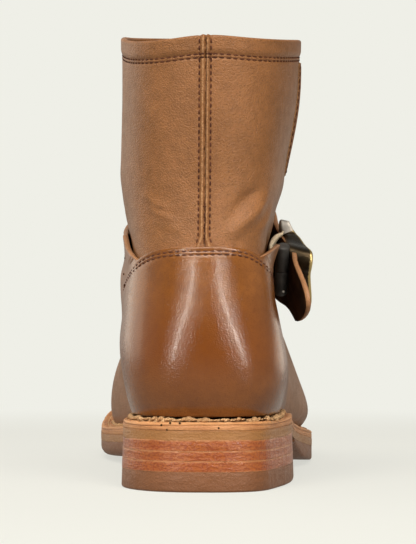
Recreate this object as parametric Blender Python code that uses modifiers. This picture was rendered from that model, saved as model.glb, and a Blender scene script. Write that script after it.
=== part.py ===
"""Ankle bootie, right shoe: hollow leather upper, welted sole, stacked heel and buckled instep strap.

Sizes are in millimetres and go into the meshes as metres. In the shoe's own frame the back of the heel is at
y = 0, the toe points along +Y, the lateral side is +X, the back seam is at x = 0 and the floor is at z = 0.
"""

import bmesh
import bpy
import numpy as np
from mathutils import Vector

MM = 0.001
GAP = 0.3
MERGE_DISTANCE = 1e-6
SHARP_ANGLE = 0.6

# Sole, from the floor up
SOLE_LENGTH = 270.0
HEEL_LENGTH = 70.0
RUBBER_THICKNESS = 6.3
MIDSOLE_THICKNESS = 2.9
WELT_THICKNESS = 3.2
WELT_WIDTH = 13.0
HALF_SOLE_START = 108.0
HALF_SOLE_TAPER = 34.0
HALF_SOLE_REAR_EDGE = 1.6
HEEL_LAYERS = (("heel_top_lift", 7.0), ("heel_lift_1", 3.6), ("heel_lift_2", 3.3), ("heel_lift_3", 5.0))
HEEL_FLARE = 0.6
HEEL_STATIONS = 22
SOLE_STATIONS = 44

# Underside of the half sole: heel pitch, flat tread under the ball, toe spring
TREAD_COLUMNS = ("station", "height", "slope")
TREAD = (
    (0.0, 13.5, 0.0),
    (70.0, 13.5, 0.0),
    (86.0, 10.7, -0.16),
    (122.0, 5.5, -0.13),
    (150.0, 2.3, -0.10),
    (186.0, 0.0, 0.0),
    (208.0, 0.0, 0.0),
    (235.0, 4.4, 0.22),
    (270.0, 13.0, 0.27),
)

# Half widths of the sole's outline at stations along it
SOLE_COLUMNS = ("station", "medial", "lateral")
SOLE_OUTLINE = (
    (0.0, 31.8, 32.6),
    (35.0, 31.8, 32.6),
    (65.0, 31.2, 32.8),
    (95.0, 30.6, 33.8),
    (120.0, 33.4, 36.4),
    (145.0, 41.0, 41.2),
    (170.0, 49.5, 44.2),
    (190.0, 53.4, 44.4),
    (215.0, 55.6, 40.6),
    (240.0, 56.0, 34.0),
    (270.0, 54.0, 26.0),
)
HEEL_ROUND = 36.0
TOE_ROUND = 66.0
TOE_CENTRE = -17.0
END_POWER = 2.4

# Upper: closed rings from the welt to the collar, each a loop from its back point to its front point.
# Half widths are taken every 30 degrees round the ring, on the lateral and on the medial side, and "flat" is
# the share by which the round of the heel is flattened at its back.
UPPER_WALL = 2.0
RING_COLUMNS = ("back_y", "back_z", "front_y", "front_z", "front_x", "sag", "flat",
                "lat30", "lat60", "lat90", "lat120", "lat150", "med30", "med60", "med90", "med120", "med150")
RINGS = (
    (8.0, 26.4, 262.0, 24.3, -16.0, 1.0, 0.42, 24.5, 27.5, 34.0, 37.5, 20.5, 24.5, 27.0, 31.5, 47.5, 41.0),
    (3.5, 34.0, 266.0, 32.0, -16.5, 0.9, 0.42, 25.5, 29.0, 37.8, 42.6, 22.5, 26.0, 29.8, 34.5, 50.0, 43.0),
    (1.5, 45.0, 263.0, 42.5, -15.0, 0.6, 0.40, 25.2, 29.2, 35.5, 38.3, 21.0, 26.3, 32.3, 35.0, 48.5, 40.5),
    (1.5, 55.0, 251.0, 53.5, -12.0, 0.3, 0.34, 24.0, 27.2, 31.2, 32.6, 17.0, 25.8, 32.4, 34.0, 43.0, 33.0),
    (2.5, 64.0, 229.0, 61.0, -8.0, 0.1, 0.24, 22.6, 25.0, 27.6, 28.3, 15.5, 25.0, 31.5, 32.8, 35.0, 25.0),
    (4.5, 74.0, 201.0, 68.0, -5.0, 0.0, 0.12, 21.2, 22.6, 24.4, 23.2, 13.5, 24.0, 30.8, 32.0, 28.5, 18.5),
    (7.0, 85.0, 171.0, 80.0, -3.0, 0.0, 0.0, 19.8, 21.0, 21.6, 20.4, 13.0, 22.8, 29.0, 29.8, 25.5, 15.0),
    (9.0, 97.0, 144.0, 95.0, -1.5, 0.0, 0.0, 19.6, 22.4, 23.2, 20.6, 13.0, 22.2, 29.8, 31.0, 25.5, 14.5),
    (10.0, 110.0, 123.0, 112.0, -0.5, 0.0, 0.0, 19.8, 25.4, 26.6, 23.6, 14.5, 21.5, 31.0, 34.0, 27.4, 15.5),
    (9.0, 125.0, 113.0, 131.0, 0.0, 0.0, 0.0, 20.0, 28.5, 31.0, 27.5, 16.2, 20.8, 30.8, 34.4, 28.8, 16.5),
    (7.0, 145.0, 109.0, 154.5, 0.0, 0.0, 0.0, 20.0, 30.8, 34.6, 30.6, 17.8, 20.0, 30.3, 33.8, 29.6, 17.2),
    (5.0, 165.3, 106.0, 182.0, 0.0, 0.0, 0.0, 19.8, 31.2, 35.7, 31.3, 18.3, 19.5, 30.0, 33.8, 29.8, 17.5),
)
RING_STEP = 30.0
HEEL_FLAT_REACH = 25.0
TOP_RING = len(RINGS) - 1.0
NORMAL_ANGLE_STEP = 0.5
NORMAL_RING_STEP = 0.02
UPPER_COLUMNS = 52
UPPER_ROWS = 18

# Dips of the collar beside the back seam, by angle round the shoe, fading out down the shaft
COLLAR_COLUMNS = ("angle", "dip")
COLLAR_DIPS = (
    (-110.0, 0.0),
    (-90.0, 0.0),
    (-60.0, 1.7),
    (-40.0, 2.1),
    (-20.0, 1.4),
    (0.0, 0.0),
    (20.0, 0.8),
    (40.0, 1.5),
    (60.0, 1.6),
    (90.0, 1.4),
    (120.0, 1.2),
    (150.0, 0.6),
    (180.0, 0.0),
)
DIP_START_RING = 9.5
DIP_FULL_RING = 11.0

# Raised back seam and collar hem, steps in the wall
SEAM_ANGLE = 4.4
SEAM_FOOT_ANGLE = 5.6
SEAM_HEIGHT = 0.5
SEAM_START_RING = 6.42
SEAM_FULL_RING = 6.56
HEM_BACK_RING = 10.605
HEM_FRONT_RING = 10.74
HEM_HEIGHT = 0.5
HEM_STEP_RING = 0.03

# Counter and side panel, overlays on the upper's own surface
OVERLAY_THICKNESS = 1.6
COUNTER_FOOT_RING = 0.16
COUNTER_FOOT_ANGLE = 66.0
COUNTER_TOP_ANGLE = 59.0
COUNTER_COLUMNS = 30
COUNTER_ROWS = 13
COUNTER_TOP_COLUMNS = ("angle", "ring")
COUNTER_TOP = ((0.0, 6.29), (20.0, 6.12), (35.0, 5.8), (48.0, 5.54), (60.0, 5.3))
PANEL_EDGE_COLUMNS = ("along", "rear_angle", "front_angle", "ring")
PANEL_EDGE = (
    (0.0, 84.0, 126.0, 8.55),
    (0.15, 81.0, 131.0, 8.8),
    (0.5, 83.0, 132.0, 9.55),
    (1.0, 80.0, 132.0, 10.56),
)
PANEL_THICKNESS = 1.1
PANEL_COLUMNS = 9
PANEL_ROWS = 9

# Instep strap: its two edges on the upper's rings and how far it stands off, by angle round the shoe.
# Angles run from the medial wing over the front at -180 to the lateral tip.
STRAP_THICKNESS = 2.0
STRAP_COLUMNS = ("angle", "low_ring", "high_ring", "low_lift", "high_lift")
STRAP_EDGES = (
    (-64.0, 4.1, 6.95, 0.5, 0.4),
    (-80.0, 4.6, 7.15, 0.6, 0.4),
    (-110.0, 5.7, 7.6, 0.7, 0.7),
    (-145.0, 6.8, 8.1, 0.8, 0.8),
    (-180.0, 7.4, 8.4, 0.8, 0.8),
    (-215.0, 7.0, 8.2, 0.8, 0.8),
    (-245.0, 5.75, 7.9, 2.1, 0.7),
    (-270.0, 4.85, 7.2, 4.1, 2.7),
    (-283.0, 4.35, 6.75, 7.2, 8.1),
    (-293.0, 3.6, 6.35, 8.7, 12.1),
    (-307.0, 2.95, 6.05, 10.3, 15.2),
)
STRAP_ROOT_STAND_OFF = 1.6
STRAP_ROOT = ((-61.9, 4.1), (-60.3, 5.4), (-36.0, 5.9))
STRAP_ROOT_BLEND = 0.09
STRAP_END_TOP = -293.0
STRAP_END_TIP = -311.0
STRAP_END_LOW = -292.0
STRAP_TIP_ACROSS = 0.45
STRAP_LENGTH_STEPS = 58
STRAP_WIDTH_STEPS = 7

# Lateral wing of the counter: angles, rings and stand-offs from its root on the counter's top edge
# to the buckle's bar
TAB_ROOT = ((61.6, 4.7, 0.4), (60.3, 5.4, 0.6), (26.0, 6.08, 0.5))
TAB_END = ((66.0, 4.9, 0.6), (66.0, 5.75, 2.4), (63.5, 6.75, 4.2))
TAB_LENGTH_STEPS = 5
TAB_WIDTH_STEPS = 7

# Buckle, set on the strap: places along it by angle and across it as a share of its width.
# The frame's shape is how far it reaches past the strap's edges, from its front bar (0) to its rear bar (1).
BUCKLE_FRONT_ANGLE = -267.0
BUCKLE_REAR_ANGLE = -292.0
BUCKLE_COLUMNS = ("rearward", "high_overhang", "low_overhang")
BUCKLE_SHAPE = ((0.0, 0.2, 0.05), (0.4, 0.13, 0.01), (1.0, 0.13, -0.14))
BUCKLE_LIFT = 1.2
BUCKLE_HIGH_TILT = 2.3
BUCKLE_LOW_TILT = 0.6
BAND_WIDTH = 3.0
BAND_THICKNESS = 3.4
BAND_SIDES = 8
OUTWARD_STEP = 1.0
SIDE_BAR_ANGLE = -285.0
SIDE_BAR_REACH = 9.0
SIDE_BAR_DEPTH = 4.2
SIDE_BAR_END = 0.55
FRAME_STEPS = 40
WIRE_RESOLUTION = 2
ROLLER_ANGLE = 69.0
ROLLER_RADIUS = 2.6
ROLLER_ENDS = ((5.0, 2.95), (6.8, 4.15))
PRONG_ROOT_ANGLE = -288.0
PRONG_RADIUS = 0.9
PRONG_STEPS = 8
PRONG_CLIMB = 0.8
PRONG_PAST_FRAME = 2.0

# Insole
INSOLE_THICKNESS = 2.4
INSOLE_CLEARANCE = 0.5
INSOLE_STEPS = 30

# Finishes of the pieces
FINISH_COLUMNS = ("name", "colour", "roughness", "metallic")
FINISHES = (
    ("shaft leather", (0.27, 0.13, 0.06), 0.55, 0.0),
    ("counter leather", (0.21, 0.07, 0.02), 0.38, 0.0),
    ("welt leather", (0.60, 0.28, 0.11), 0.6, 0.0),
    ("natural leather", (0.41, 0.19, 0.07), 0.6, 0.0),
    ("stacked leather", (0.40, 0.12, 0.04), 0.5, 0.0),
    ("rubber", (0.25, 0.11, 0.05), 0.7, 0.0),
    ("lining", (0.50, 0.36, 0.22), 0.8, 0.0),
    ("antique brass", (0.36, 0.25, 0.10), 0.35, 1.0),
    ("dark steel", (0.03, 0.03, 0.03), 0.4, 1.0),
)


def column(table, columns, name):
    return np.array([row[columns.index(name)] for row in table], float)


def spline_weights(knots, at, period=None):
    """How much each knot's value counts at each place, for a natural cubic spline, closed round on a period."""
    knots = np.asarray(knots, float)
    count = len(knots)
    at = np.asarray(at, float)
    values = np.eye(count)
    if period:
        at = np.mod(at, period)
        knots = np.concatenate([knots - period, knots, knots + period])
        values = np.vstack([values] * 3)
    gaps = np.diff(knots)
    slopes = np.diff(values, axis=0) / gaps[:, None]
    matrix = np.eye(len(knots))
    right = np.zeros_like(values)
    for i in range(1, len(knots) - 1):
        matrix[i, i - 1:i + 2] = gaps[i - 1], 2 * (gaps[i - 1] + gaps[i]), gaps[i]
        right[i] = 6 * (slopes[i] - slopes[i - 1])
    bends = np.linalg.solve(matrix, right)
    i = np.clip(np.searchsorted(knots, at) - 1, 0, len(gaps) - 1)
    gap = gaps[i][:, None]
    after = (at - knots[i])[:, None]
    before = gap - after
    curve = bends[i] * (before ** 3 / gap - before * gap) + bends[i + 1] * (after ** 3 / gap - after * gap)
    return values[i] * before / gap + values[i + 1] * after / gap + curve / 6


def spline(table, columns, name, at):
    """A named column of a table, read between its rows by the table's first column."""
    return spline_weights(column(table, columns, columns[0]), at) @ column(table, columns, name)


def smooth_step(share):
    share = np.clip(share, 0.0, 1.0)
    return share * share * (3 - 2 * share)


def tread_height(y):
    """Height of the half sole's underside, through the table's heights at their slopes."""
    y = np.asarray(y, float)
    at, height, slope = (column(TREAD, TREAD_COLUMNS, name) for name in TREAD_COLUMNS)
    i = np.clip(np.searchsorted(at, y) - 1, 0, len(at) - 2)
    span = at[i + 1] - at[i]
    share = (y - at[i]) / span
    level = height[i] + (height[i + 1] - height[i]) * smooth_step(share)
    rise = slope[i] * (1 - share) - slope[i + 1] * share
    return level + span * share * (1 - share) * rise


def midsole_bottom(y):
    return tread_height(y) + RUBBER_THICKNESS + GAP


def welt_bottom(y):
    return midsole_bottom(y) + MIDSOLE_THICKNESS + GAP


def welt_top(y):
    return welt_bottom(y) + WELT_THICKNESS


def feather_line(y):
    return welt_top(y) + GAP


def sole_edges(y):
    """Medial and lateral x of the sole's outline at each y, with its round heel and toe."""
    y = np.asarray(y, float)
    heel = np.clip(1 - y / HEEL_ROUND, 0.0, 1.0)
    toe = np.clip((y - SOLE_LENGTH + TOE_ROUND) / TOE_ROUND, 0.0, 1.0)
    taper = ((1 - heel ** END_POWER) * (1 - toe ** END_POWER)) ** (1 / END_POWER)
    centre = TOE_CENTRE * toe ** 2
    medial = centre - (spline(SOLE_OUTLINE, SOLE_COLUMNS, "medial", y) + centre) * taper
    lateral = centre + (spline(SOLE_OUTLINE, SOLE_COLUMNS, "lateral", y) - centre) * taper
    return medial, lateral


def stations(start, end, count):
    """Places from start to end along the sole, closer together at its round ends."""
    turn_start = np.arccos(1 - 2 * start / SOLE_LENGTH)
    turn_end = np.arccos(1 - 2 * end / SOLE_LENGTH)
    return SOLE_LENGTH * (1 - np.cos(np.linspace(turn_start, turn_end, count))) / 2


def upper_surface(angle, ring):
    """Points of the upper's outer surface at angles (degrees, 0 at the back, 90 lateral) and rings."""
    angle = np.asarray(angle, float)
    ring = np.asarray(ring, float)
    back_y, back_z, front_y, front_z, front_x, sag, flat = (
        column(RINGS, RING_COLUMNS, name) for name in RING_COLUMNS[:7]
    )
    turn = np.arange(0.0, 360.0, RING_STEP)
    loops_x = np.zeros((len(turn), len(RINGS)))
    for i, degrees in enumerate(turn):
        if degrees == 180:
            loops_x[i] = front_x
        elif degrees:
            side, sign = ("lat", 1) if degrees < 180 else ("med", -1)
            loops_x[i] = sign * column(RINGS, RING_COLUMNS, f"{side}{int(min(degrees, 360 - degrees))}")
    loops_y = back_y + (front_y - back_y) * (1 - np.cos(np.radians(turn))[:, None]) / 2
    round_weights = spline_weights(turn, angle, period=360.0)
    x = round_weights @ loops_x
    depth = round_weights @ loops_y - back_y
    y = back_y + depth * (1 - flat * np.exp(-depth / HEEL_FLAT_REACH))
    share = (y - back_y) / (front_y - back_y)
    base_share = (y - back_y[0]) / (front_y[0] - back_y[0])
    base_chord = back_z[0] + (front_z[0] - back_z[0]) * base_share
    z = back_z + (front_z - back_z) * share + sag * (feather_line(y) - base_chord)
    ring_weights = spline_weights(np.arange(len(RINGS)), ring)
    points = np.stack([(ring_weights * part).sum(axis=1) for part in (x, y, z)], axis=1)
    points[:, 2] -= collar_dip(angle, ring)
    return points


def collar_dip(angle, ring):
    """How far the collar hangs below its plain ring."""
    turned = np.mod(angle + 180.0, 360.0) - 180.0
    places = column(COLLAR_DIPS, COLLAR_COLUMNS, "angle")
    dip = spline(COLLAR_DIPS, COLLAR_COLUMNS, "dip", np.clip(turned, places[0], places[-1]))
    return dip * smooth_step((ring - DIP_START_RING) / (DIP_FULL_RING - DIP_START_RING))


def upper_point(angle, ring, offset=0.0):
    """Points at an offset along the outward normal from the upper's surface."""
    angle, ring, offset = np.broadcast_arrays(angle, ring, offset)
    shape = angle.shape
    angle, ring, offset = (np.asarray(part, float).ravel() for part in (angle, ring, offset))
    along = upper_surface(angle + NORMAL_ANGLE_STEP, ring) - upper_surface(angle - NORMAL_ANGLE_STEP, ring)
    low = np.clip(ring - NORMAL_RING_STEP, 0.0, TOP_RING)
    high = np.clip(ring + NORMAL_RING_STEP, 0.0, TOP_RING)
    up = upper_surface(angle, high) - upper_surface(angle, low)
    normal = np.cross(along, up)
    normal /= np.linalg.norm(normal, axis=1)[:, None]
    return (upper_surface(angle, ring) + normal * offset[:, None]).reshape(shape + (3,))


def raised_step(angle, ring):
    """Height of the back seam and of the collar hem above the plain wall."""
    from_seam = np.abs(np.mod(np.asarray(angle, float) + 180.0, 360.0) - 180.0)
    across = np.clip((SEAM_FOOT_ANGLE - from_seam) / (SEAM_FOOT_ANGLE - SEAM_ANGLE), 0.0, 1.0)
    upward = np.clip((ring - SEAM_START_RING) / (SEAM_FULL_RING - SEAM_START_RING), 0.0, 1.0)
    hem = np.clip((ring - hem_ring(angle)) / HEM_STEP_RING, 0.0, 1.0)
    return SEAM_HEIGHT * across * upward + HEM_HEIGHT * hem


def hem_ring(angle):
    """Ring of the collar hem's lower edge, which keeps its height while the collar rises to the front."""
    return HEM_BACK_RING + (HEM_FRONT_RING - HEM_BACK_RING) * (1 - np.cos(np.radians(angle))) / 2


def counter_top(angle):
    return spline(COUNTER_TOP, COUNTER_TOP_COLUMNS, "ring", np.abs(angle))


def strap_place(angle, across):
    """Ring and stand-off of the strap's inner face at angles, across it from 0 at its low edge to 1."""
    low, high, low_lift, high_lift = (
        spline(STRAP_EDGES[::-1], STRAP_COLUMNS, name, angle) for name in STRAP_COLUMNS[1:]
    )
    return low + (high - low) * across, low_lift + (high_lift - low_lift) * across


def strap_point(angle, across, offset):
    """Points on or beside the strap, at an offset out from its inner face."""
    angle, across = (np.asarray(part, float) for part in np.broadcast_arrays(angle, across))
    ring, lift = strap_place(angle.ravel(), across.ravel())
    return upper_point(angle, ring.reshape(angle.shape), lift.reshape(angle.shape) + offset)


def along_polyline(corners, share):
    """Places on a path through evenly spread corners."""
    corners = np.asarray(corners, float)
    at = np.linspace(0.0, 1.0, len(corners))
    return np.stack([np.interp(share, at, corners[:, i]) for i in range(corners.shape[1])], axis=-1)


def make_material(name, colour, roughness, metallic):
    material = bpy.data.materials.new(name)
    material.use_nodes = True
    shader = material.node_tree.nodes["Principled BSDF"]
    shader.inputs["Base Color"].default_value = (*colour, 1.0)
    shader.inputs["Roughness"].default_value = roughness
    shader.inputs["Metallic"].default_value = metallic
    return material


def add_part(name, data, material):
    """A named sub-part in the bootie's collection, carried by its root."""
    part = bpy.data.objects.new(name, data)
    data.materials.append(material)
    collection.objects.link(part)
    part.parent = root
    return part


def add_mesh(name, points, faces, material):
    mesh = bpy.data.meshes.new(name)
    mesh.from_pydata((np.asarray(points).reshape(-1, 3) * MM).tolist(), [], faces)
    shape = bmesh.new()
    shape.from_mesh(mesh)
    bmesh.ops.remove_doubles(shape, verts=shape.verts, dist=MERGE_DISTANCE)
    shape.to_mesh(mesh)
    shape.free()
    mesh.shade_smooth()
    mesh.set_sharp_from_angle(angle=SHARP_ANGLE)
    return add_part(name, mesh, material)


def add_shell(name, grid, material, thickness, outward=1.0, closed=False):
    """A grid of points, columns by rows, thickened by Solidify."""
    columns, rows = grid.shape[:2]
    faces = []
    for i in range(columns if closed else columns - 1):
        after = (i + 1) % columns
        for j in range(rows - 1):
            faces.append((i * rows + j, after * rows + j, after * rows + j + 1, i * rows + j + 1))
    part = add_mesh(name, grid, faces, material)
    wall = part.modifiers.new("wall", "SOLIDIFY")
    wall.thickness = thickness * MM
    wall.offset = outward
    return part


def add_loft(name, sections, material, closed=False):
    """A solid through sections of as many points each, capped unless it closes on itself."""
    sections = np.asarray(sections)
    count, size = sections.shape[:2]
    faces = []
    for i in range(count if closed else count - 1):
        after = (i + 1) % count
        for j in range(size):
            side = (j + 1) % size
            faces.append((i * size + j, after * size + j, after * size + side, i * size + side))
    if not closed:
        faces.append(tuple(range(size)))
        faces.append(tuple(range((count - 1) * size, count * size))[::-1])
    return add_mesh(name, sections, faces, material)


def add_wire(name, points, radius, material, closed=False):
    """A round wire along points."""
    curve = bpy.data.curves.new(name, "CURVE")
    curve.dimensions = "3D"
    curve.bevel_depth = radius * MM
    curve.bevel_resolution = WIRE_RESOLUTION
    curve.use_fill_caps = True
    line = curve.splines.new("POLY")
    line.points.add(len(points) - 1)
    for place, point in zip(line.points, points):
        place.co = (*(Vector(point) * MM), 1.0)
    line.use_cyclic_u = closed
    return add_part(name, curve, material)


def add_sole_layer(name, y, bottom, top, material, low_flare=0.0, high_flare=0.0):
    """A layer of the sole between two heights, its outline grown by a flare at its bottom and at its top."""
    medial, lateral = sole_edges(y)
    sections = []
    for i, place in enumerate(y):
        heel_share = max(0.0, 1 - place / HEEL_LENGTH)
        section = []
        for height, flare in ((bottom[i], low_flare), (top[i], high_flare)):
            back = place - flare * heel_share
            pair = [(medial[i] - flare, back, height), (lateral[i] + flare, back, height)]
            section += pair if height == bottom[i] else pair[::-1]
        sections.append(section)
    return add_loft(name, sections, material)


def make_heel():
    """Stack of lifts, each a little smaller than the one below."""
    y = stations(0.0, HEEL_LENGTH, HEEL_STATIONS)
    height = sum(thickness + GAP for name, thickness in HEEL_LAYERS)
    level = 0.0
    for name, thickness in HEEL_LAYERS:
        finish = finishes["rubber"] if name == "heel_top_lift" else finishes["stacked leather"]
        flares = [HEEL_FLARE * (1 - z / height) for z in (level, level + thickness)]
        add_sole_layer(name, y, level + 0 * y, level + thickness + 0 * y, finish, *flares)
        level += thickness + GAP


def make_outsole():
    """Rubber half sole, skived thin at its rear end."""
    y = stations(HALF_SOLE_START, SOLE_LENGTH, SOLE_STATIONS)
    top = tread_height(y) + RUBBER_THICKNESS
    skive = smooth_step((y - HALF_SOLE_START) / HALF_SOLE_TAPER)
    bottom = top - HALF_SOLE_REAR_EDGE - (RUBBER_THICKNESS - HALF_SOLE_REAR_EDGE) * skive
    add_sole_layer("outsole", y, bottom, top, finishes["rubber"])


def make_midsole():
    y = stations(0.0, SOLE_LENGTH, SOLE_STATIONS)
    add_sole_layer("midsole", y, midsole_bottom(y), welt_bottom(y) - GAP, finishes["natural leather"])


def make_welt():
    """Strip all round, on the midsole's edge."""
    y = stations(0.0, SOLE_LENGTH, SOLE_STATIONS)
    medial, lateral = sole_edges(y)
    loop = np.concatenate([np.stack([lateral, y], 1), np.stack([medial, y], 1)[-2:0:-1]])
    along = np.roll(loop, -1, axis=0) - np.roll(loop, 1, axis=0)
    inward = np.stack([-along[:, 1], along[:, 0]], 1) / np.linalg.norm(along, axis=1)[:, None]
    inner = loop + inward * WELT_WIDTH
    sections = []
    for edge, lip in zip(loop, inner):
        sections.append([
            (*edge, welt_bottom(edge[1])), (*edge, welt_top(edge[1])),
            (*lip, welt_top(lip[1])), (*lip, welt_bottom(lip[1])),
        ])
    add_loft("welt", sections, finishes["welt leather"], closed=True)


def make_insole():
    """Board inside the upper, on the welt."""
    angle = np.linspace(0.0, 180.0, INSOLE_STEPS)
    inset = -UPPER_WALL - INSOLE_CLEARANCE
    sections = []
    for lateral, medial in zip(upper_point(angle, 0.0, inset), upper_point(-angle, 0.0, inset)):
        section = []
        for rise in (0.0, INSOLE_THICKNESS):
            pair = [(*edge[:2], feather_line(edge[1]) + rise) for edge in (medial, lateral)]
            section += pair if not rise else pair[::-1]
        sections.append(section)
    add_loft("insole", sections, finishes["lining"])


def make_upper():
    seam = np.array([SEAM_ANGLE, SEAM_FOOT_ANGLE])
    around = np.linspace(0.0, 360.0, UPPER_COLUMNS, endpoint=False)
    around = around[(around > SEAM_FOOT_ANGLE) & (around < 360.0 - SEAM_FOOT_ANGLE)]
    angle = np.concatenate([-seam[::-1], [0.0], seam, around])
    plain = np.linspace(0.0, HEM_BACK_RING - HEM_STEP_RING, UPPER_ROWS) / HEM_BACK_RING
    steps = np.array([SEAM_START_RING, SEAM_FULL_RING]) / HEM_BACK_RING
    share = np.sort(np.concatenate([plain, steps]))
    hem = hem_ring(angle)[:, None]
    ring = np.concatenate([share * hem, hem, hem + HEM_STEP_RING, 0 * hem + TOP_RING], axis=1)
    angle = angle[:, None] + 0 * ring
    grid = upper_point(angle, ring, raised_step(angle, ring))
    add_shell("upper", grid, finishes["shaft leather"], UPPER_WALL, outward=-1.0, closed=True)


def make_counter():
    across = np.linspace(-1.0, 1.0, COUNTER_COLUMNS)[:, None]
    upward = np.linspace(0.0, 1.0, COUNTER_ROWS)[None, :]
    angle = across * (COUNTER_FOOT_ANGLE + (COUNTER_TOP_ANGLE - COUNTER_FOOT_ANGLE) * upward)
    top = counter_top(angle.ravel()).reshape(angle.shape)
    ring = COUNTER_FOOT_RING + (top - COUNTER_FOOT_RING) * upward
    add_shell("heel_counter", upper_point(angle, ring, GAP), finishes["counter leather"], OVERLAY_THICKNESS)


def make_side_panel():
    along = np.linspace(0.0, 1.0, PANEL_ROWS)
    rear, front, ring = (spline(PANEL_EDGE, PANEL_EDGE_COLUMNS, name, along) for name in PANEL_EDGE_COLUMNS[1:])
    across = np.linspace(0.0, 1.0, PANEL_COLUMNS)[:, None]
    angle = rear + (front - rear) * across
    grid = upper_point(angle, ring + 0 * angle, GAP)
    add_shell("side_panel", grid, finishes["shaft leather"], PANEL_THICKNESS)


def make_strap():
    """From its L-shaped root on the counter's edge over the instep to its round tip."""
    along = np.linspace(0.0, 1.0, STRAP_LENGTH_STEPS)[:, None]
    across = np.linspace(0.0, 1.0, STRAP_WIDTH_STEPS)[None, :] + 0 * along
    start = STRAP_EDGES[0][0]
    end_turn = (STRAP_END_LOW, STRAP_END_TIP, STRAP_END_TOP)
    end = (spline_weights((0.0, STRAP_TIP_ACROSS, 1.0), across[0]) @ end_turn)[None, :]
    run = np.clip((along - STRAP_ROOT_BLEND) / (1 - STRAP_ROOT_BLEND), 0.0, 1.0)
    angle = start + (end - start) * run
    ring, lift = (part.reshape(angle.shape) for part in strap_place(angle.ravel(), across.ravel()))
    root_place = along_polyline(STRAP_ROOT, across[0])
    joined = np.minimum(along / STRAP_ROOT_BLEND, 1.0)
    angle = root_place[None, :, 0] + (angle - root_place[None, :, 0]) * joined
    ring = root_place[None, :, 1] + (ring - root_place[None, :, 1]) * joined
    stand_off = STRAP_ROOT_STAND_OFF * np.sin(np.pi * joined) * across
    lift = GAP + (lift - GAP) * joined + stand_off
    add_shell("strap", upper_point(angle, ring, lift)[:, ::-1], finishes["counter leather"], STRAP_THICKNESS)


def make_tab():
    along = np.linspace(0.0, 1.0, TAB_LENGTH_STEPS)[:, None, None]
    across = np.linspace(0.0, 1.0, TAB_WIDTH_STEPS)
    place = along_polyline(TAB_ROOT, across) * (1 - along) + along_polyline(TAB_END, across) * along
    grid = upper_point(place[..., 0], place[..., 1], place[..., 2])
    add_shell("strap_tab", grid, finishes["counter leather"], OVERLAY_THICKNESS)


def round_corners(turn):
    """Cosine and sine of a turn, pushed out into the corners of a square."""
    pair = np.stack([np.cos(turn), np.sin(turn)])
    return np.sign(pair) * np.sqrt(np.abs(pair))


def add_band(name, points, outward, inner_depth, material):
    """A flat band with rounded edges along a closed line of points, deeper on its inner side where asked."""
    along = np.roll(points, -1, axis=0) - np.roll(points, 1, axis=0)
    along /= np.linalg.norm(along, axis=1)[:, None]
    side = np.cross(along, outward)
    side /= np.linalg.norm(side, axis=1)[:, None]
    outward = np.cross(side, along)
    half_step = np.pi / BAND_SIDES
    wide, high = round_corners(np.linspace(0.0, 2 * np.pi, BAND_SIDES, endpoint=False) + half_step)
    rise = high * BAND_THICKNESS / 2 - np.where(high < 0, inner_depth[:, None], 0.0)
    section = side[:, None] * wide[:, None] * BAND_WIDTH / 2 + outward[:, None] * rise[..., None]
    return add_loft(name, points[:, None] + section, material, closed=True)


def make_buckle():
    """Bowed frame whose high side reaches in beside the strap, the bar under it and the prong over it."""
    lengthwise, crosswise = round_corners(np.linspace(0.0, 2 * np.pi, FRAME_STEPS, endpoint=False))
    rearward = (1 - lengthwise) / 2
    angle = BUCKLE_FRONT_ANGLE + (BUCKLE_REAR_ANGLE - BUCKLE_FRONT_ANGLE) * rearward
    high, low = (spline(BUCKLE_SHAPE, BUCKLE_COLUMNS, name, rearward) for name in BUCKLE_COLUMNS[1:])
    across = 0.5 + (0.5 + np.where(crosswise > 0, high, low)) * crosswise
    tilt = BUCKLE_LOW_TILT + (BUCKLE_HIGH_TILT - BUCKLE_LOW_TILT) * (1 + crosswise) / 2
    off_strap = STRAP_THICKNESS + BUCKLE_LIFT + BAND_THICKNESS / 2 + tilt * rearward
    middle = strap_point(angle, across, off_strap)
    outward = strap_point(angle, across, off_strap + OUTWARD_STEP) - middle
    side_bar = np.exp(-((angle - SIDE_BAR_ANGLE) / SIDE_BAR_REACH) ** 2)
    side_bar *= smooth_step((crosswise - SIDE_BAR_END) / (1 - SIDE_BAR_END))
    add_band("buckle_frame", middle, outward, SIDE_BAR_DEPTH * side_bar, finishes["antique brass"])
    bar = [upper_point(ROLLER_ANGLE, ring, lift + ROLLER_RADIUS) for ring, lift in ROLLER_ENDS]
    add_wire("buckle_roller", bar, ROLLER_RADIUS, finishes["dark steel"])
    share = np.linspace(0.0, 1.0, PRONG_STEPS)
    angle = PRONG_ROOT_ANGLE + (BUCKLE_FRONT_ANGLE + PRONG_PAST_FRAME - PRONG_ROOT_ANGLE) * share
    climb = (BUCKLE_LIFT + BAND_THICKNESS + GAP) * smooth_step(share / PRONG_CLIMB)
    prong = strap_point(angle, 0.5, STRAP_THICKNESS + GAP + PRONG_RADIUS + climb)
    add_wire("buckle_prong", prong, PRONG_RADIUS, finishes["antique brass"])


def stand_on_origin():
    """Moves the whole shoe so that the middle of its foot print's box is over the origin, on the floor."""
    bpy.context.view_layer.update()
    graph = bpy.context.evaluated_depsgraph_get()
    points = []
    for part in collection.objects:
        if part is not root:
            solid = part.evaluated_get(graph)
            points += [solid.matrix_world @ vertex.co for vertex in solid.to_mesh().vertices]
            solid.to_mesh_clear()
    low = np.min(points, axis=0)
    high = np.max(points, axis=0)
    root.location = (-(low[0] + high[0]) / 2, -(low[1] + high[1]) / 2, -low[2])


for leftover in list(bpy.data.objects):
    bpy.data.objects.remove(leftover)
collection = bpy.data.collections.new("ankle_bootie")
bpy.context.scene.collection.children.link(collection)
root = bpy.data.objects.new("ankle_bootie_root", None)
collection.objects.link(root)

finishes = {row[0]: make_material(*row) for row in FINISHES}

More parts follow.
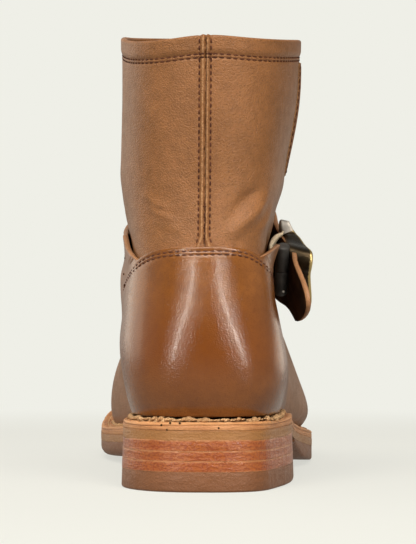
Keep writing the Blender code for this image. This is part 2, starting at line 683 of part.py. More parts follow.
make_heel()
make_outsole()
make_midsole()
make_welt()
make_insole()
make_upper()
make_counter()
make_side_panel()
make_strap()
make_tab()
make_buckle()
stand_on_origin()
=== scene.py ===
# %% [markdown]
# # A right ankle bootie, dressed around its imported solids
# The solids give the boot its true size and place. This lesson puts leather, thread, brass and rubber
# on them, one piece at a time, in the order in which a boot maker would look at them: the last's own
# surface first, then the upper, the overlays, the sole, the hardware, and at the end the studio. Sizes
# are in millimetres in the shoe's own frame: heel back at y = 0, toe along +Y, lateral side +X.

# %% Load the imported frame
import math
import bpy
import numpy as np
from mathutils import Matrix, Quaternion, Vector, geometry, kdtree


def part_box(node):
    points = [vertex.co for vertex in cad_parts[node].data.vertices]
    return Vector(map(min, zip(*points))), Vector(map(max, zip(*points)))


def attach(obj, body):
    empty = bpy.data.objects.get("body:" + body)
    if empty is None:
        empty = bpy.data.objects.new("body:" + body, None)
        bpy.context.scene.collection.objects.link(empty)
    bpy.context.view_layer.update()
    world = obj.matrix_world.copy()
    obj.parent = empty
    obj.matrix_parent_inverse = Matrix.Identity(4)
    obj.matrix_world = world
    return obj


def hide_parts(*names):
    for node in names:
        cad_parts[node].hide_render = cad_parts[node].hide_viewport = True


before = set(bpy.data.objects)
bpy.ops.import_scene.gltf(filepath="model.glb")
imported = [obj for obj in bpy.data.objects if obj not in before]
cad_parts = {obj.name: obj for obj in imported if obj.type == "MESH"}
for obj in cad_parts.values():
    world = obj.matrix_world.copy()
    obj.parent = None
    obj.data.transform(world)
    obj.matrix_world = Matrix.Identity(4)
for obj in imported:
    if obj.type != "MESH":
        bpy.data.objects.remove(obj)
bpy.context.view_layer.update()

# %% [markdown]
# ## The last: one surface that everything follows
# A boot is pulled over a last, so the upper, its overlays and its stitches all lie on one smooth form.
# It could be sculpted, but then nothing could be placed on it by number. Here it is a set of closed
# rings, from the welt to the collar, read between by splines, and any point is named by an angle round
# the boot (0 at the back, 90 lateral, 180 front) and a ring. The tables are those of the solids.

# %% Tables of the last and the sole
MM = 0.001
GAP = 0.3
TREAD_COLUMNS = ("station", "height", "slope")
TREAD = ((0, 13.5, 0), (70, 13.5, 0), (86, 10.7, -0.16), (122, 5.5, -0.13), (150, 2.3, -0.10), (186, 0, 0),
         (208, 0, 0), (235, 4.4, 0.22), (270, 13, 0.27))
SOLE_COLUMNS = ("station", "medial", "lateral")
SOLE_OUTLINE = ((0, 31.8, 32.6), (35, 31.8, 32.6), (65, 31.2, 32.8), (95, 30.6, 33.8), (120, 33.4, 36.4),
                (145, 41, 41.2), (170, 49.5, 44.2), (190, 53.4, 44.4), (215, 55.6, 40.6), (240, 56, 34),
                (270, 54, 26))
RING_COLUMNS = ("back_y", "back_z", "front_y", "front_z", "front_x", "sag", "flat",
                "lat30", "lat60", "lat90", "lat120", "lat150",
                "med30", "med60", "med90", "med120", "med150")
RINGS = (
    (8.0, 26.4, 262.0, 24.3, -16.0, 1.0, 0.42, 21.6, 26.6, 33.2, 37.5, 20.5, 24.0, 25.2, 29.8, 47.0, 41.0),
    (3.5, 34.0, 266.0, 32.0, -16.5, 0.9, 0.42, 24.4, 28.5, 37.4, 42.6, 22.5, 25.6, 28.3, 33.0, 49.6, 43.0),
    (1.5, 45.0, 263.0, 42.5, -15.0, 0.6, 0.40, 25.2, 29.2, 35.5, 38.3, 21.0, 26.1, 31.3, 34.0, 48.5, 40.5),
    (1.5, 55.0, 251.0, 53.5, -12.0, 0.3, 0.34, 24.0, 27.2, 31.2, 32.6, 17.0, 25.8, 32.4, 34.0, 43.0, 33.0),
    (2.5, 64.0, 229.0, 61.0, -8.0, 0.1, 0.24, 22.6, 25.0, 27.6, 28.3, 15.5, 25.0, 31.5, 32.8, 35.0, 25.0),
    (4.5, 74.0, 201.0, 68.0, -5.0, 0.0, 0.12, 21.2, 22.6, 24.4, 23.2, 13.5, 24.0, 30.8, 32.0, 28.5, 18.5),
    (7.0, 85.0, 171.0, 80.0, -3.0, 0.0, 0.0, 19.8, 21.0, 21.6, 20.4, 13.0, 22.8, 29.0, 29.8, 25.5, 15.0),
    (9.0, 97.0, 144.0, 95.0, -1.5, 0.0, 0.0, 19.6, 23.0, 24.0, 20.6, 13.0, 22.2, 29.8, 31.0, 25.5, 14.5),
    (10.0, 110.0, 123.0, 112.0, -0.5, 0.0, 0.0, 19.8, 26.5, 27.9, 24.0, 14.5, 21.5, 31.0, 34.0, 27.4, 15.5),
    (9.0, 125.0, 113.0, 131.0, 0.0, 0.0, 0.0, 20.0, 28.5, 31.0, 27.5, 16.2, 20.8, 30.8, 34.4, 28.8, 16.5),
    (7.0, 145.0, 109.0, 154.5, 0.0, 0.0, 0.0, 20.0, 30.8, 34.6, 30.6, 17.8, 20.0, 30.3, 33.8, 29.6, 17.2),
    (5.0, 165.3, 106.0, 182.0, 0.0, 0.0, 0.0, 19.8, 31.2, 35.7, 31.3, 18.3, 19.5, 30.0, 33.8, 29.8, 17.5),
)
TOP_RING, HEEL_FLAT_REACH, KNOT_TURN = len(RINGS) - 1.0, 25.0, 30.0
COLLAR_COLUMNS = ("angle", "dip")
COLLAR_DIPS = ((-110, 0), (-90, 0), (-60, 1.7), (-40, 2.1), (-20, 1.4), (0, 0), (20, 0.8), (40, 1.5),
               (60, 1.6), (90, 1.4), (120, 1.2), (150, 0.6), (180, 0))
COLLAR_START, COLLAR_FADE = 9.5, 1.5
SOLE_LENGTH, HEEL_ROUND, TOE_ROUND, TOE_CENTRE, END_POWER = 270.0, 36.0, 66.0, -17.0, 2.4
HEEL_SWING, SWING_PLACE, SWING_REAR, SWING_FORE = 5.6, 19.0, 18.0, 22.0
RUBBER, MIDSOLE, WELT = 6.3, 2.9, 3.2
print("last:", len(RINGS), "rings; sole", SOLE_LENGTH, "mm long")

# %% [markdown]
# ## Reading between the rows
# A table gives a few places; the form between them has to run through smoothly, as a last does under
# the hand. Straight steps would show as facets. A natural cubic spline bends as little as it can, and
# because it is written as weights of its knots, one function serves every table, open or closed round
# the boot.

# %% Splines through the tables
def column(table, columns, name):
    return np.array([row[columns.index(name)] for row in table], float)


def spline_weights(knots, at, period=None):
    """How much each knot counts at each place, for a natural cubic spline, closed round on a period."""
    knots = np.asarray(knots, float)
    at = np.asarray(at, float)
    values = np.eye(len(knots))
    if period:
        at = np.mod(at, period)
        knots = np.concatenate([knots - period, knots, knots + period])
        values = np.vstack([values] * 3)
    gaps = np.diff(knots)
    slopes = np.diff(values, axis=0) / gaps[:, None]
    matrix = np.eye(len(knots))
    right = np.zeros_like(values)
    for i in range(1, len(knots) - 1):
        matrix[i, i - 1:i + 2] = gaps[i - 1], 2 * (gaps[i - 1] + gaps[i]), gaps[i]
        right[i] = 6 * (slopes[i] - slopes[i - 1])
    bends = np.linalg.solve(matrix, right)
    i = np.clip(np.searchsorted(knots, at) - 1, 0, len(gaps) - 1)
    gap = gaps[i][:, None]
    after = (at - knots[i])[:, None]
    before = gap - after
    curve = bends[i] * (before ** 3 / gap - before * gap) + bends[i + 1] * (after ** 3 / gap - after * gap)
    return values[i] * before / gap + values[i + 1] * after / gap + curve / 6


def spline(table, columns, name, at):
    at = np.asarray(at, float)
    read = spline_weights(column(table, columns, columns[0]), at.ravel()) @ column(table, columns, name)
    return read.reshape(at.shape)


def smooth_step(share):
    share = np.clip(share, 0.0, 1.0)
    return share * share * (3 - 2 * share)


def bell(distance, width):
    return np.exp(-(distance / width) ** 2)


# %% [markdown]
# ## The sole's own lines
# A sole is cut to one outline and bent along one line: level under the heel, down to the ball, up again
# at the toe. Both could be drawn as curves; as functions of the distance from the heel, each layer can
# ask for them.

# %% Heights and edges of the sole
def tread_height(y):
    """Height of the sole's underside: heel pitch, flat under the ball, toe spring."""
    y = np.asarray(y, float)
    at, height, slope = (column(TREAD, TREAD_COLUMNS, name) for name in TREAD_COLUMNS)
    i = np.clip(np.searchsorted(at, y) - 1, 0, len(at) - 2)
    span = at[i + 1] - at[i]
    share = (y - at[i]) / span
    level = height[i] + (height[i + 1] - height[i]) * smooth_step(share)
    return level + span * share * (1 - share) * (slope[i] * (1 - share) - slope[i + 1] * share)


def midsole_bottom(y):
    return tread_height(y) + RUBBER + GAP


def welt_bottom(y):
    return midsole_bottom(y) + MIDSOLE + GAP


def welt_top(y):
    return welt_bottom(y) + WELT


def sole_edges(y):
    """Medial and lateral x of the sole's outline, with its round heel and toe."""
    y = np.asarray(y, float)
    heel = np.clip(1 - y / HEEL_ROUND, 0.0, 1.0)
    toe = np.clip((y - SOLE_LENGTH + TOE_ROUND) / TOE_ROUND, 0.0, 1.0)
    taper = ((1 - heel ** END_POWER) * (1 - toe ** END_POWER)) ** (1 / END_POWER)
    centre = TOE_CENTRE * toe ** 2
    medial = centre - (spline(SOLE_OUTLINE, SOLE_COLUMNS, "medial", y) + centre) * taper
    lateral = centre + (spline(SOLE_OUTLINE, SOLE_COLUMNS, "lateral", y) - centre) * taper
    swing = HEEL_SWING * bell(y - SWING_PLACE, np.where(y < SWING_PLACE, SWING_REAR, SWING_FORE))
    return medial, lateral - swing * taper


print("welt's top at the heel:", round(float(welt_top(0.0)), 1), "mm")

# %% [markdown]
# ## A point on the last
# Each ring is a closed loop through twelve places, and the rings are joined upwards. Given an angle and
# a ring, the surface gives a point, the direction out of the leather and the direction up it. Every
# piece below is placed with these three, so nothing has to be fitted by eye afterwards.

# %% The last's surface
def collar_dip(angle, ring):
    """How far the collar hangs below its plain ring, beside its peak at the back seam."""
    turned = np.clip(np.mod(angle + 180.0, 360.0) - 180.0, COLLAR_DIPS[0][0], COLLAR_DIPS[-1][0])
    fade = smooth_step((ring - COLLAR_START) / COLLAR_FADE)
    return spline(COLLAR_DIPS, COLLAR_COLUMNS, "dip", turned) * fade


def last_surface(angle, ring):
    back_y, back_z, front_y, front_z, front_x, sag, flat = (
        column(RINGS, RING_COLUMNS, name) for name in RING_COLUMNS[:7])
    turn = np.arange(0.0, 360.0, KNOT_TURN)
    loops_x = np.zeros((len(turn), len(RINGS)))
    for i, degrees in enumerate(turn):
        if degrees == 180:
            loops_x[i] = front_x
        elif degrees:
            side, sign = ("lat", 1) if degrees < 180 else ("med", -1)
            loops_x[i] = sign * column(RINGS, RING_COLUMNS, f"{side}{int(min(degrees, 360 - degrees))}")
    loops_y = back_y + (front_y - back_y) * (1 - np.cos(np.radians(turn))[:, None]) / 2
    round_weights = spline_weights(turn, angle, period=360.0)
    x, depth = round_weights @ loops_x, round_weights @ loops_y - back_y
    y = back_y + depth * (1 - flat * np.exp(-depth / HEEL_FLAT_REACH))
    share = (y - back_y) / (front_y - back_y)
    base_share = (y - back_y[0]) / (front_y[0] - back_y[0])
    base_chord = back_z[0] + (front_z[0] - back_z[0]) * base_share
    z = back_z + (front_z - back_z) * share + sag * (welt_top(y) + GAP - base_chord)
    ring_weights = spline_weights(np.arange(len(RINGS)), ring)
    points = np.stack([(ring_weights * part).sum(axis=1) for part in (x, y, z)], axis=1)
    points[:, 2] -= collar_dip(angle, ring)
    return points


HALF_DEGREE, RING_STEP = 0.5, 0.02


def last_frame(angle, ring):
    """Point, outward normal and upward direction on the last, each shaped as the angles and rings given."""
    angle, ring = np.broadcast_arrays(np.asarray(angle, float), np.asarray(ring, float))
    shape = angle.shape + (3,)
    angle, ring = angle.ravel(), ring.ravel()
    along = last_surface(angle + HALF_DEGREE, ring) - last_surface(angle - HALF_DEGREE, ring)
    low, high = (np.clip(ring + step, 0.0, TOP_RING) for step in (-RING_STEP, RING_STEP))
    up = (last_surface(angle, high) - last_surface(angle, low)) / (high - low)[:, None]
    normal = np.cross(along, up)
    normal /= np.linalg.norm(normal, axis=1)[:, None]
    return last_surface(angle, ring).reshape(shape), normal.reshape(shape), up.reshape(shape)


def last_point(angle, ring, offset=0.0):
    point, normal, up = last_frame(angle, ring)
    return point + normal * np.asarray(offset, float)[..., None]


print("heel's back on ring 3:", last_point(np.array([0.0]), np.array([3.0])).round(1).tolist())

# %% [markdown]
# ## From the shoe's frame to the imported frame
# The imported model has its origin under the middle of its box. The shift is measured from two solids,
# the midsole's lateral edge and the top lift's rear, so the skins land on the solids whatever the pack
# did.

# %% Where the shoe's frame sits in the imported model
def stations(start, end, count):
    turn = np.arccos(1 - 2 * np.array([start, end]) / SOLE_LENGTH)
    return SOLE_LENGTH * (1 - np.cos(np.linspace(*turn, count))) / 2


HEEL_FLARE, SOLE_STATIONS = 0.6, 44
SHIFT = np.array([
    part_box("midsole")[1].x / MM - sole_edges(stations(0.0, SOLE_LENGTH, SOLE_STATIONS))[1].max(),
    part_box("heel_top_lift")[0].y / MM + HEEL_FLARE,
    0.0,
])
print("shoe frame to packed frame, mm:", SHIFT.round(2).tolist())

# %% [markdown]
# ## Finishes: groups that several leathers share
# Real leather is never one colour: it has pebbles and pores under a millimetre across, slow drifts of
# tone where the dye took differently, and pale wear on its rims. Image textures could carry that, but
# procedural noise stays sharp at every distance and needs no unwrapping. Each effect is a node group,
# built once, that puts out masks and heights, and every material places it with its own sizes.

# %% Helpers for node trees
PER_METRE = 1000.0


def put(tree, kind, inputs=None, **settings):
    """A node with its settings, and with its inputs set to values or linked to sockets."""
    node = tree.nodes.new(kind)
    for name, value in settings.items():
        setattr(node, name, value)
    for name, value in (inputs or {}).items():
        if isinstance(value, bpy.types.NodeSocket):
            tree.links.new(value, node.inputs[name])
        else:
            node.inputs[name].default_value = value
    return node


def calc(tree, operation, *values):
    return put(tree, "ShaderNodeMath", dict(enumerate(values)), operation=operation).outputs[0]


def times(tree, first, second):
    return calc(tree, "MULTIPLY", first, second)


def plus(tree, first, second):
    return calc(tree, "ADD", first, second)


def span(tree, value, low, high):
    """A value carried from low..high to 0..1, smoothly and held at both ends."""
    inputs = {"Value": value, "From Min": low, "From Max": high}
    return put(tree, "ShaderNodeMapRange", inputs, interpolation_type="SMOOTHSTEP").outputs["Result"]


def mix(tree, share, first, second):
    """A blend of two colours, each a socket or three numbers."""
    ends = [value if isinstance(value, bpy.types.NodeSocket) else (*value, 1.0) for value in (first, second)]
    return put(tree, "ShaderNodeMix", {0: share, 6: ends[0], 7: ends[1]}, data_type="RGBA").outputs[2]


def noise(tree, place, scale, **inputs):
    return put(tree, "ShaderNodeTexNoise", {"Vector": place, "Scale": scale, **inputs}).outputs["Fac"]


def new_group(name, inputs, outputs):
    """An empty node group with its named sockets; an input without a value is a place."""
    group = bpy.data.node_groups.new(name, "ShaderNodeTree")
    for socket, value in inputs.items():
        kind = "NodeSocketVector" if value is None else "NodeSocketFloat"
        made = group.interface.new_socket(name=socket, in_out="INPUT", socket_type=kind)
        if value is not None:
            made.default_value = value
    for socket in outputs:
        group.interface.new_socket(name=socket, in_out="OUTPUT", socket_type="NodeSocketFloat")
    return group, group.nodes.new("NodeGroupInput").outputs, group.nodes.new("NodeGroupOutput").inputs


# %% [markdown]
# ## Leather grain
# Under a lens, grain leather is a field of small pebbles with finer wrinkles and dark pores between
# them. A bump of plain noise would look like plaster; here the pebbles are the cells of a smooth
# Voronoi texture, warped and roughened by two noises, and sized in millimetres, so each hide can have
# its own.

# %% Grain: pebbles and pores, sized in millimetres
grain_group, given, wanted = new_group("leather grain", {"Vector": None, "Pebble": 0.7}, ("Height", "Pores"))
tree, place = grain_group, given["Vector"]
per_pebble = calc(tree, "DIVIDE", PER_METRE, given["Pebble"])
warp = noise(tree, place, times(tree, per_pebble, 0.5))
cell = {"Vector": place, "Scale": per_pebble, "Smoothness": 0.6, "Randomness": 1.0}
cells = put(tree, "ShaderNodeTexVoronoi", cell, feature="SMOOTH_F1").outputs["Distance"]
fine = noise(tree, place, times(tree, per_pebble, 1.25), Detail=2.0, Roughness=0.6)
pebble = calc(tree, "SUBTRACT", 1.0, span(tree, cells, 0.15, 0.75))
height = plus(tree, times(tree, pebble, 0.6), times(tree, fine, 0.5))
tree.links.new(plus(tree, height, times(tree, warp, 0.3)), wanted["Height"])
tree.links.new(span(tree, fine, 0.53, 0.72), wanted["Pores"])
print(grain_group.name, "nodes:", len(tree.nodes))

# %% [markdown]
# ## Dye drift
# A hide takes its dye unevenly, so its tone drifts over centimetres and flickers over millimetres. Two
# noises, one seven times finer than the other, give both as masks between which a material mixes its
# own colours.

# %% Tone: slow drifts of dye
tone_group, given, wanted = new_group("dye drift", {"Vector": None, "Patch": 20.0}, ("Drift", "Fine"))
tree, place = tone_group, given["Vector"]
per_patch = calc(tree, "DIVIDE", PER_METRE, given["Patch"])
slow = noise(tree, place, per_patch, Detail=2.0, Distortion=0.4)
quick = noise(tree, place, times(tree, per_patch, 7.0), Detail=3.0, Roughness=0.65)
tree.links.new(span(tree, slow, 0.32, 0.68), wanted["Drift"])
tree.links.new(span(tree, quick, 0.35, 0.68), wanted["Fine"])
print(tone_group.name, "nodes:", len(tree.nodes))

# %% [markdown]
# ## Rim wear
# Cut rims lose their dye first, in crumbs and not in an even band. Geometry nodes or a pointiness mask
# could find the rims, but the meshes below know them already: each carries a mark, and this group only
# breaks it up.

# %% Wear: a rim mark broken up by noise
wear_group, given, wanted = new_group("rim wear", {"Vector": None, "Rim": 0.0, "Break": 1.2}, ("Mask",))
tree = wear_group
crumbs = noise(tree, given["Vector"], calc(tree, "DIVIDE", PER_METRE, given["Break"]), Detail=3.0)
torn = plus(tree, given["Rim"], times(tree, calc(tree, "SUBTRACT", crumbs, 0.5), 0.7))
tree.links.new(span(tree, torn, 0.35, 0.75), wanted["Mask"])
print(wear_group.name, "nodes:", len(tree.nodes))

# %% [markdown]
# ## Sole plies
# A trimmed sole edge shows thin level lines, where the plies of the leather lie on each other, and fine
# specks. The lines are a noise that is stretched far along the sole and squeezed in height, and let
# wander a little.

# %% Plies: thin level lines and specks on a trimmed sole edge
PLY_STRETCH, FLECK_SHAPE, FLECK_SCALE = 60.0, (0.85, 0.85, 1.0), 1250.0
ply_group, given, wanted = new_group("sole plies", {"Vector": None, "Ply": 1.5}, ("Lines", "Specks"))
tree, place = ply_group, given["Vector"]
apart = put(tree, "ShaderNodeSeparateXYZ", {"Vector": place}).outputs
wander = noise(tree, place, 45.0, Detail=2.0)
level = plus(tree, times(tree, apart["Z"], PER_METRE), times(tree, wander, 1.6))
parts = {axis: times(tree, apart[axis], PLY_STRETCH) for axis in "XY"}
parts["Z"] = calc(tree, "DIVIDE", level, given["Ply"])
stretched = put(tree, "ShaderNodeCombineXYZ", parts).outputs[0]
bands = noise(tree, stretched, 1.0, Detail=2.0, Roughness=0.7)
flecks = put(tree, "ShaderNodeVectorMath", {0: place, 1: FLECK_SHAPE}, operation="MULTIPLY").outputs["Vector"]
specks = noise(tree, flecks, FLECK_SCALE, Detail=2.0, Roughness=0.6)
tree.links.new(span(tree, bands, 0.38, 0.66), wanted["Lines"])
tree.links.new(span(tree, specks, 0.42, 0.62), wanted["Specks"])
print("node groups:", [group.name for group in bpy.data.node_groups])

# %% [markdown]
# ## What every material starts with
# Each finish is one Principled shader with its plain values set on its own sockets, a place on the
# object for the groups to read, marks painted on the mesh's points, and a bump measured in millimetres.


# %% A material's frame: shader, place on the object, marks, bump
def new_finish(name, **values):
    """A material with its shader's plain values set, its node tree, its sockets and the place to read."""
    material = bpy.data.materials.new(name)
    material.use_nodes = True
    tree = material.node_tree
    shader = tree.nodes["Principled BSDF"]
    for socket, value in values.items():
        shader.inputs[socket.replace("_", " ")].default_value = value
    place = put(tree, "ShaderNodeTexCoord").outputs["Object"]
    return material, tree, shader.inputs, place


def use(tree, group, **inputs):
    return put(tree, "ShaderNodeGroup", inputs, node_tree=group).outputs


def mark(tree, name):
    """A number painted on the mesh's points, such as how near a cut rim they are."""
    return put(tree, "ShaderNodeAttribute", attribute_name=name).outputs["Fac"]


def bump(tree, height, distance):
    return put(tree, "ShaderNodeBump", {"Height": height, "Distance": distance * MM}).outputs["Normal"]


print("finish helpers ready")

# %% [markdown]
# ## The boot's two upper leathers
# The shaft is satin pull-up leather, tan and slightly grey where the light grazes it. The counter and
# strap are the same hide, burnished: darker, redder, glossier. Their cut rims show raw orange-brown
# fibre. One recipe makes both, because only the tones, the gloss and the depth of grain differ.


# %% Shaft and counter leather
def leather(name, tones, rough, pebble, depth, **values):
    """Grained leather: two dye tones, pores, worn rim fibre, and painted shade down the back seam's groove.
    """
    light, dark, deep, shade, fibre = tones
    material, tree, shader, place = new_finish(name, **values)
    tone = use(tree, tone_group, Vector=place, Patch=26.0)
    grain = use(tree, grain_group, Vector=place, Pebble=pebble)
    wear = use(tree, wear_group, Vector=place, Rim=mark(tree, "rim"))
    colour = mix(tree, tone["Drift"], dark, light)
    colour = mix(tree, times(tree, tone["Fine"], 0.22), colour, shade)
    colour = mix(tree, times(tree, grain["Pores"], 0.6), colour, shade)
    # painted shade: darkens the leather down the back seam's groove, where shade falls
    colour = mix(tree, mark(tree, "fold"), colour, shade)
    # part burnishing, part painted shade: darker on the heel's bulge, paler where sides and foot catch
    # reflection
    colour = mix(tree, times(tree, mark(tree, "burnish_and_shade"), 0.6), colour, deep)
    colour = mix(tree, wear["Mask"], colour, fibre)
    crumbs = times(tree, times(tree, grain["Pores"], wear["Mask"]), 0.7)
    tree.links.new(mix(tree, crumbs, colour, shade), shader["Base Color"])
    rougher = plus(tree, times(tree, tone["Fine"], 0.06), times(tree, wear["Mask"], 0.3))
    rougher = plus(tree, rougher, times(tree, mark(tree, "matt"), 0.3))
    tree.links.new(plus(tree, rougher, rough), shader["Roughness"])
    tree.links.new(bump(tree, grain["Height"], depth), shader["Normal"])
    return material


TONE_COLUMNS = ("light", "dark", "deep", "shade", "fibre")
SHAFT_TONES = ((0.27, 0.113, 0.039), (0.22, 0.09, 0.028), (0.16, 0.06, 0.016), (0.07, 0.024, 0.007),
               (0.38, 0.20, 0.09))
COUNTER_TONES = ((0.225, 0.078, 0.015), (0.17, 0.056, 0.009), (0.15, 0.035, 0.003), (0.06, 0.018, 0.004),
                 (0.33, 0.155, 0.065))
shaft_leather = leather("shaft leather", SHAFT_TONES, 0.41, 0.62, 0.2, Specular_IOR_Level=0.3)
counter_leather = leather("burnished leather", COUNTER_TONES, 0.16, 0.55, 0.06,
                          Coat_Weight=0.16, Coat_Roughness=0.13, Specular_IOR_Level=0.5)
print("leathers:", shaft_leather.name, "and", counter_leather.name, "by", TONE_COLUMNS)

# %% [markdown]
# ## Backs, lining and threads
# The back of the overlays is dark suede, the lining is pale unfinished hide, the sewing is dark waxed
# thread and the welt's rope is linen. All are matt and short-fibred, so they share one recipe: a drift
# of two tones, with the darker one also in the pores.


# %% Suede back, lining and thread
def plain_hide(name, light, dark, rough, pebble, depth, **values):
    material, tree, shader, place = new_finish(name, Roughness=rough, **values)
    tone = use(tree, tone_group, Vector=place, Patch=9.0)
    grain = use(tree, grain_group, Vector=place, Pebble=pebble)
    colour = mix(tree, tone["Drift"], dark, light)
    tree.links.new(mix(tree, times(tree, grain["Pores"], 0.5), colour, dark), shader["Base Color"])
    tree.links.new(bump(tree, grain["Height"], depth), shader["Normal"])
    return material


# dark suede; its dark tones also serve as painted shade inside the pin and awl holes
suede_back_and_hole_shade = plain_hide("suede back and hole shade", (0.065, 0.03, 0.011), (0.025, 0.011, 0.005), 0.95, 0.4, 0.25,
                        Specular_IOR_Level=0.1)
lining_hide = plain_hide("lining hide", (0.50, 0.34, 0.19), (0.42, 0.27, 0.14), 0.75, 0.6, 0.15)
dark_thread = plain_hide("dark thread", (0.10, 0.034, 0.017), (0.055, 0.017, 0.009), 0.8, 0.25, 0.1,
                         Specular_IOR_Level=0.2)
pale_thread = plain_hide("waxed linen thread", (0.60, 0.37, 0.185), (0.42, 0.235, 0.105), 0.8, 0.3, 0.2)
pale_hide = plain_hide("pale loop leather", (0.82, 0.70, 0.52), (0.68, 0.54, 0.37), 0.7, 0.5, 0.2)
hides = (suede_back_and_hole_shade, lining_hide, dark_thread, pale_thread, pale_hide)
print("backs and threads:", [hide.name for hide in hides])

# %% [markdown]
# ## Sole leathers and rubber
# Every sole layer but the lowest is leather too, trimmed on a wheel, so it shows plies instead of
# grain: a pale rough welt, an olive midsole, reddish waxed lifts. The rubber takes the same recipe with
# its lines nearly off, because it was trimmed on the same wheel.


# %% Trimmed sole leathers and rubber
def trimmed(name, tones, rough, ply, flecked):
    """A sole layer's edge: plies as level lines, specks, and a rim tone where its corners are worn."""
    light, dark, line, fleck, corner = tones
    material, tree, shader, place = new_finish(name)
    plies = use(tree, ply_group, Vector=place, Ply=ply)
    tone = use(tree, tone_group, Vector=place, Patch=14.0)
    wear = use(tree, wear_group, Vector=place, Rim=mark(tree, "rim"), Break=2.5)
    colour = mix(tree, tone["Drift"], dark, light)
    colour = mix(tree, times(tree, plies["Lines"], 0.4), colour, line)
    colour = mix(tree, times(tree, plies["Specks"], flecked), colour, fleck)
    colour = mix(tree, times(tree, wear["Mask"], 0.7), colour, corner)
    tree.links.new(colour, shader["Base Color"])
    tree.links.new(plus(tree, times(tree, tone["Fine"], 0.15), rough), shader["Roughness"])
    relief = plus(tree, plies["Lines"], times(tree, plies["Specks"], 0.5))
    tree.links.new(bump(tree, relief, 0.12), shader["Normal"])
    return material


WELT_TONES = ((0.51, 0.23, 0.086), (0.42, 0.165, 0.055), (0.27, 0.085, 0.026), (0.55, 0.28, 0.12),
              (0.55, 0.265, 0.105))
MIDSOLE_TONES = ((0.305, 0.134, 0.037), (0.28, 0.119, 0.031), (0.27, 0.115, 0.03), (0.33, 0.148, 0.045),
                 (0.27, 0.11, 0.028))
LIFT_TONES = ((0.335, 0.09, 0.017), (0.285, 0.066, 0.010), (0.36, 0.115, 0.028), (0.19, 0.028, 0.004),
              (0.44, 0.185, 0.07))
RUBBER_TONES = ((0.19, 0.07, 0.023), (0.175, 0.063, 0.02), (0.16, 0.056, 0.017), (0.20, 0.075, 0.025),
                (0.17, 0.062, 0.02))
welt_leather = trimmed("welt leather", WELT_TONES, 0.5, 1.3, 0.3)
midsole_leather = trimmed("midsole leather", MIDSOLE_TONES, 0.42, 2.5, 0.15)
stacked_leather = trimmed("stacked leather", LIFT_TONES, 0.30, 2.6, 0.7)
sole_rubber = trimmed("sole rubber", RUBBER_TONES, 0.45, 6.0, 0.15)
print("sole:", welt_leather.name, midsole_leather.name, stacked_leather.name, sole_rubber.name)

# %% [markdown]
# ## Metals
# The buckle is cast, plated dark and rubbed to gold along its rims; its bar end is coloured pale grey,
# a painted reflection of the bright studio, and its roller is blackened steel. A plain metal would mirror
# the studio everywhere, so tone and roughness drift over it and the rim mark brings the bright plating
# through.


# %% Antique brass, nickel and blackened steel
def aged_metal(name, bright, dull, dark, rough, metallic=1.0):
    """Plated metal: bright where its rims are rubbed, dull and dark patches in between."""
    material, tree, shader, place = new_finish(name, Metallic=metallic)
    tone = use(tree, tone_group, Vector=place, Patch=5.0)
    wear = use(tree, wear_group, Vector=place, Rim=mark(tree, "rim"), Break=1.5)
    colour = mix(tree, wear["Mask"], mix(tree, tone["Drift"], dark, dull), bright)
    tree.links.new(colour, shader["Base Color"])
    tree.links.new(plus(tree, times(tree, tone["Fine"], 0.18), rough), shader["Roughness"])
    return material


antique_brass = aged_metal("antique brass", (0.60, 0.44, 0.19), (0.06, 0.042, 0.024), (0.03, 0.022, 0.014),
                           0.34)
# the bar end's pale grey is a painted reflection of the bright studio
grey_reflection_metal = aged_metal("bar end painted reflection", (0.62, 0.58, 0.53), (0.40, 0.37, 0.34), (0.30, 0.275, 0.25), 0.5, 0.6)
dark_steel = aged_metal("blackened steel", (0.16, 0.15, 0.14), (0.10, 0.094, 0.088), (0.06, 0.056, 0.053),
                        0.45, 0.6)
# near-white pin end: a painted highlight
pin_painted_highlight = aged_metal("pin painted highlight", (0.85, 0.80, 0.72), (0.85, 0.80, 0.72), (0.7, 0.66, 0.6), 0.35, 0.2)
print("metals:", antique_brass.name, grey_reflection_metal.name, dark_steel.name, pin_painted_highlight.name)

# %% [markdown]
# ## From points to a piece
# Every piece below is worked out as arrays of points in the shoe's millimetres. One function turns them
# into a mesh, hangs it on the boot's body, says which solid it stands for, and paints its marks on the
# points, so that no piece can forget one of these.


# %% Mesh helpers
def grid_faces(columns, rows, closed=False):
    index = np.arange(columns * rows).reshape(columns, rows)
    after = np.roll(index, -1, axis=0) if closed else index[1:]
    here = index if closed else index[:-1]
    return np.stack([here[:, :-1], after[:, :-1], after[:, 1:], here[:, 1:]], axis=-1).reshape(-1, 4)


def add_piece(name, points, faces, finishes, replaces=(), slot=None, face_finish=None, **marks):
    """A mesh piece on the boot's body, from points in the shoe's millimetres, with its painted marks."""
    mesh = bpy.data.meshes.new(name)
    places = (np.asarray(points, float).reshape(-1, 3) + SHIFT) * MM
    mesh.from_pydata(places.tolist(), [], [list(map(int, face)) for face in faces])
    for finish in finishes:
        mesh.materials.append(finish)
    if face_finish is not None:
        mesh.polygons.foreach_set("material_index", np.asarray(face_finish, np.int32))
    for label, values in marks.items():
        made = mesh.attributes.new(label, "FLOAT", "POINT")
        made.data.foreach_set("value", np.asarray(values, np.float32).ravel())
    mesh.polygons.foreach_set("use_smooth", np.full(len(mesh.polygons), True))
    piece = bpy.data.objects.new(name, mesh)
    bpy.context.scene.collection.objects.link(piece)
    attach(piece, "root")
    if replaces:
        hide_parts(*replaces)
    mesh.calc_loop_triangles()
    print(f"{name}: {len(mesh.loop_triangles)} triangles")
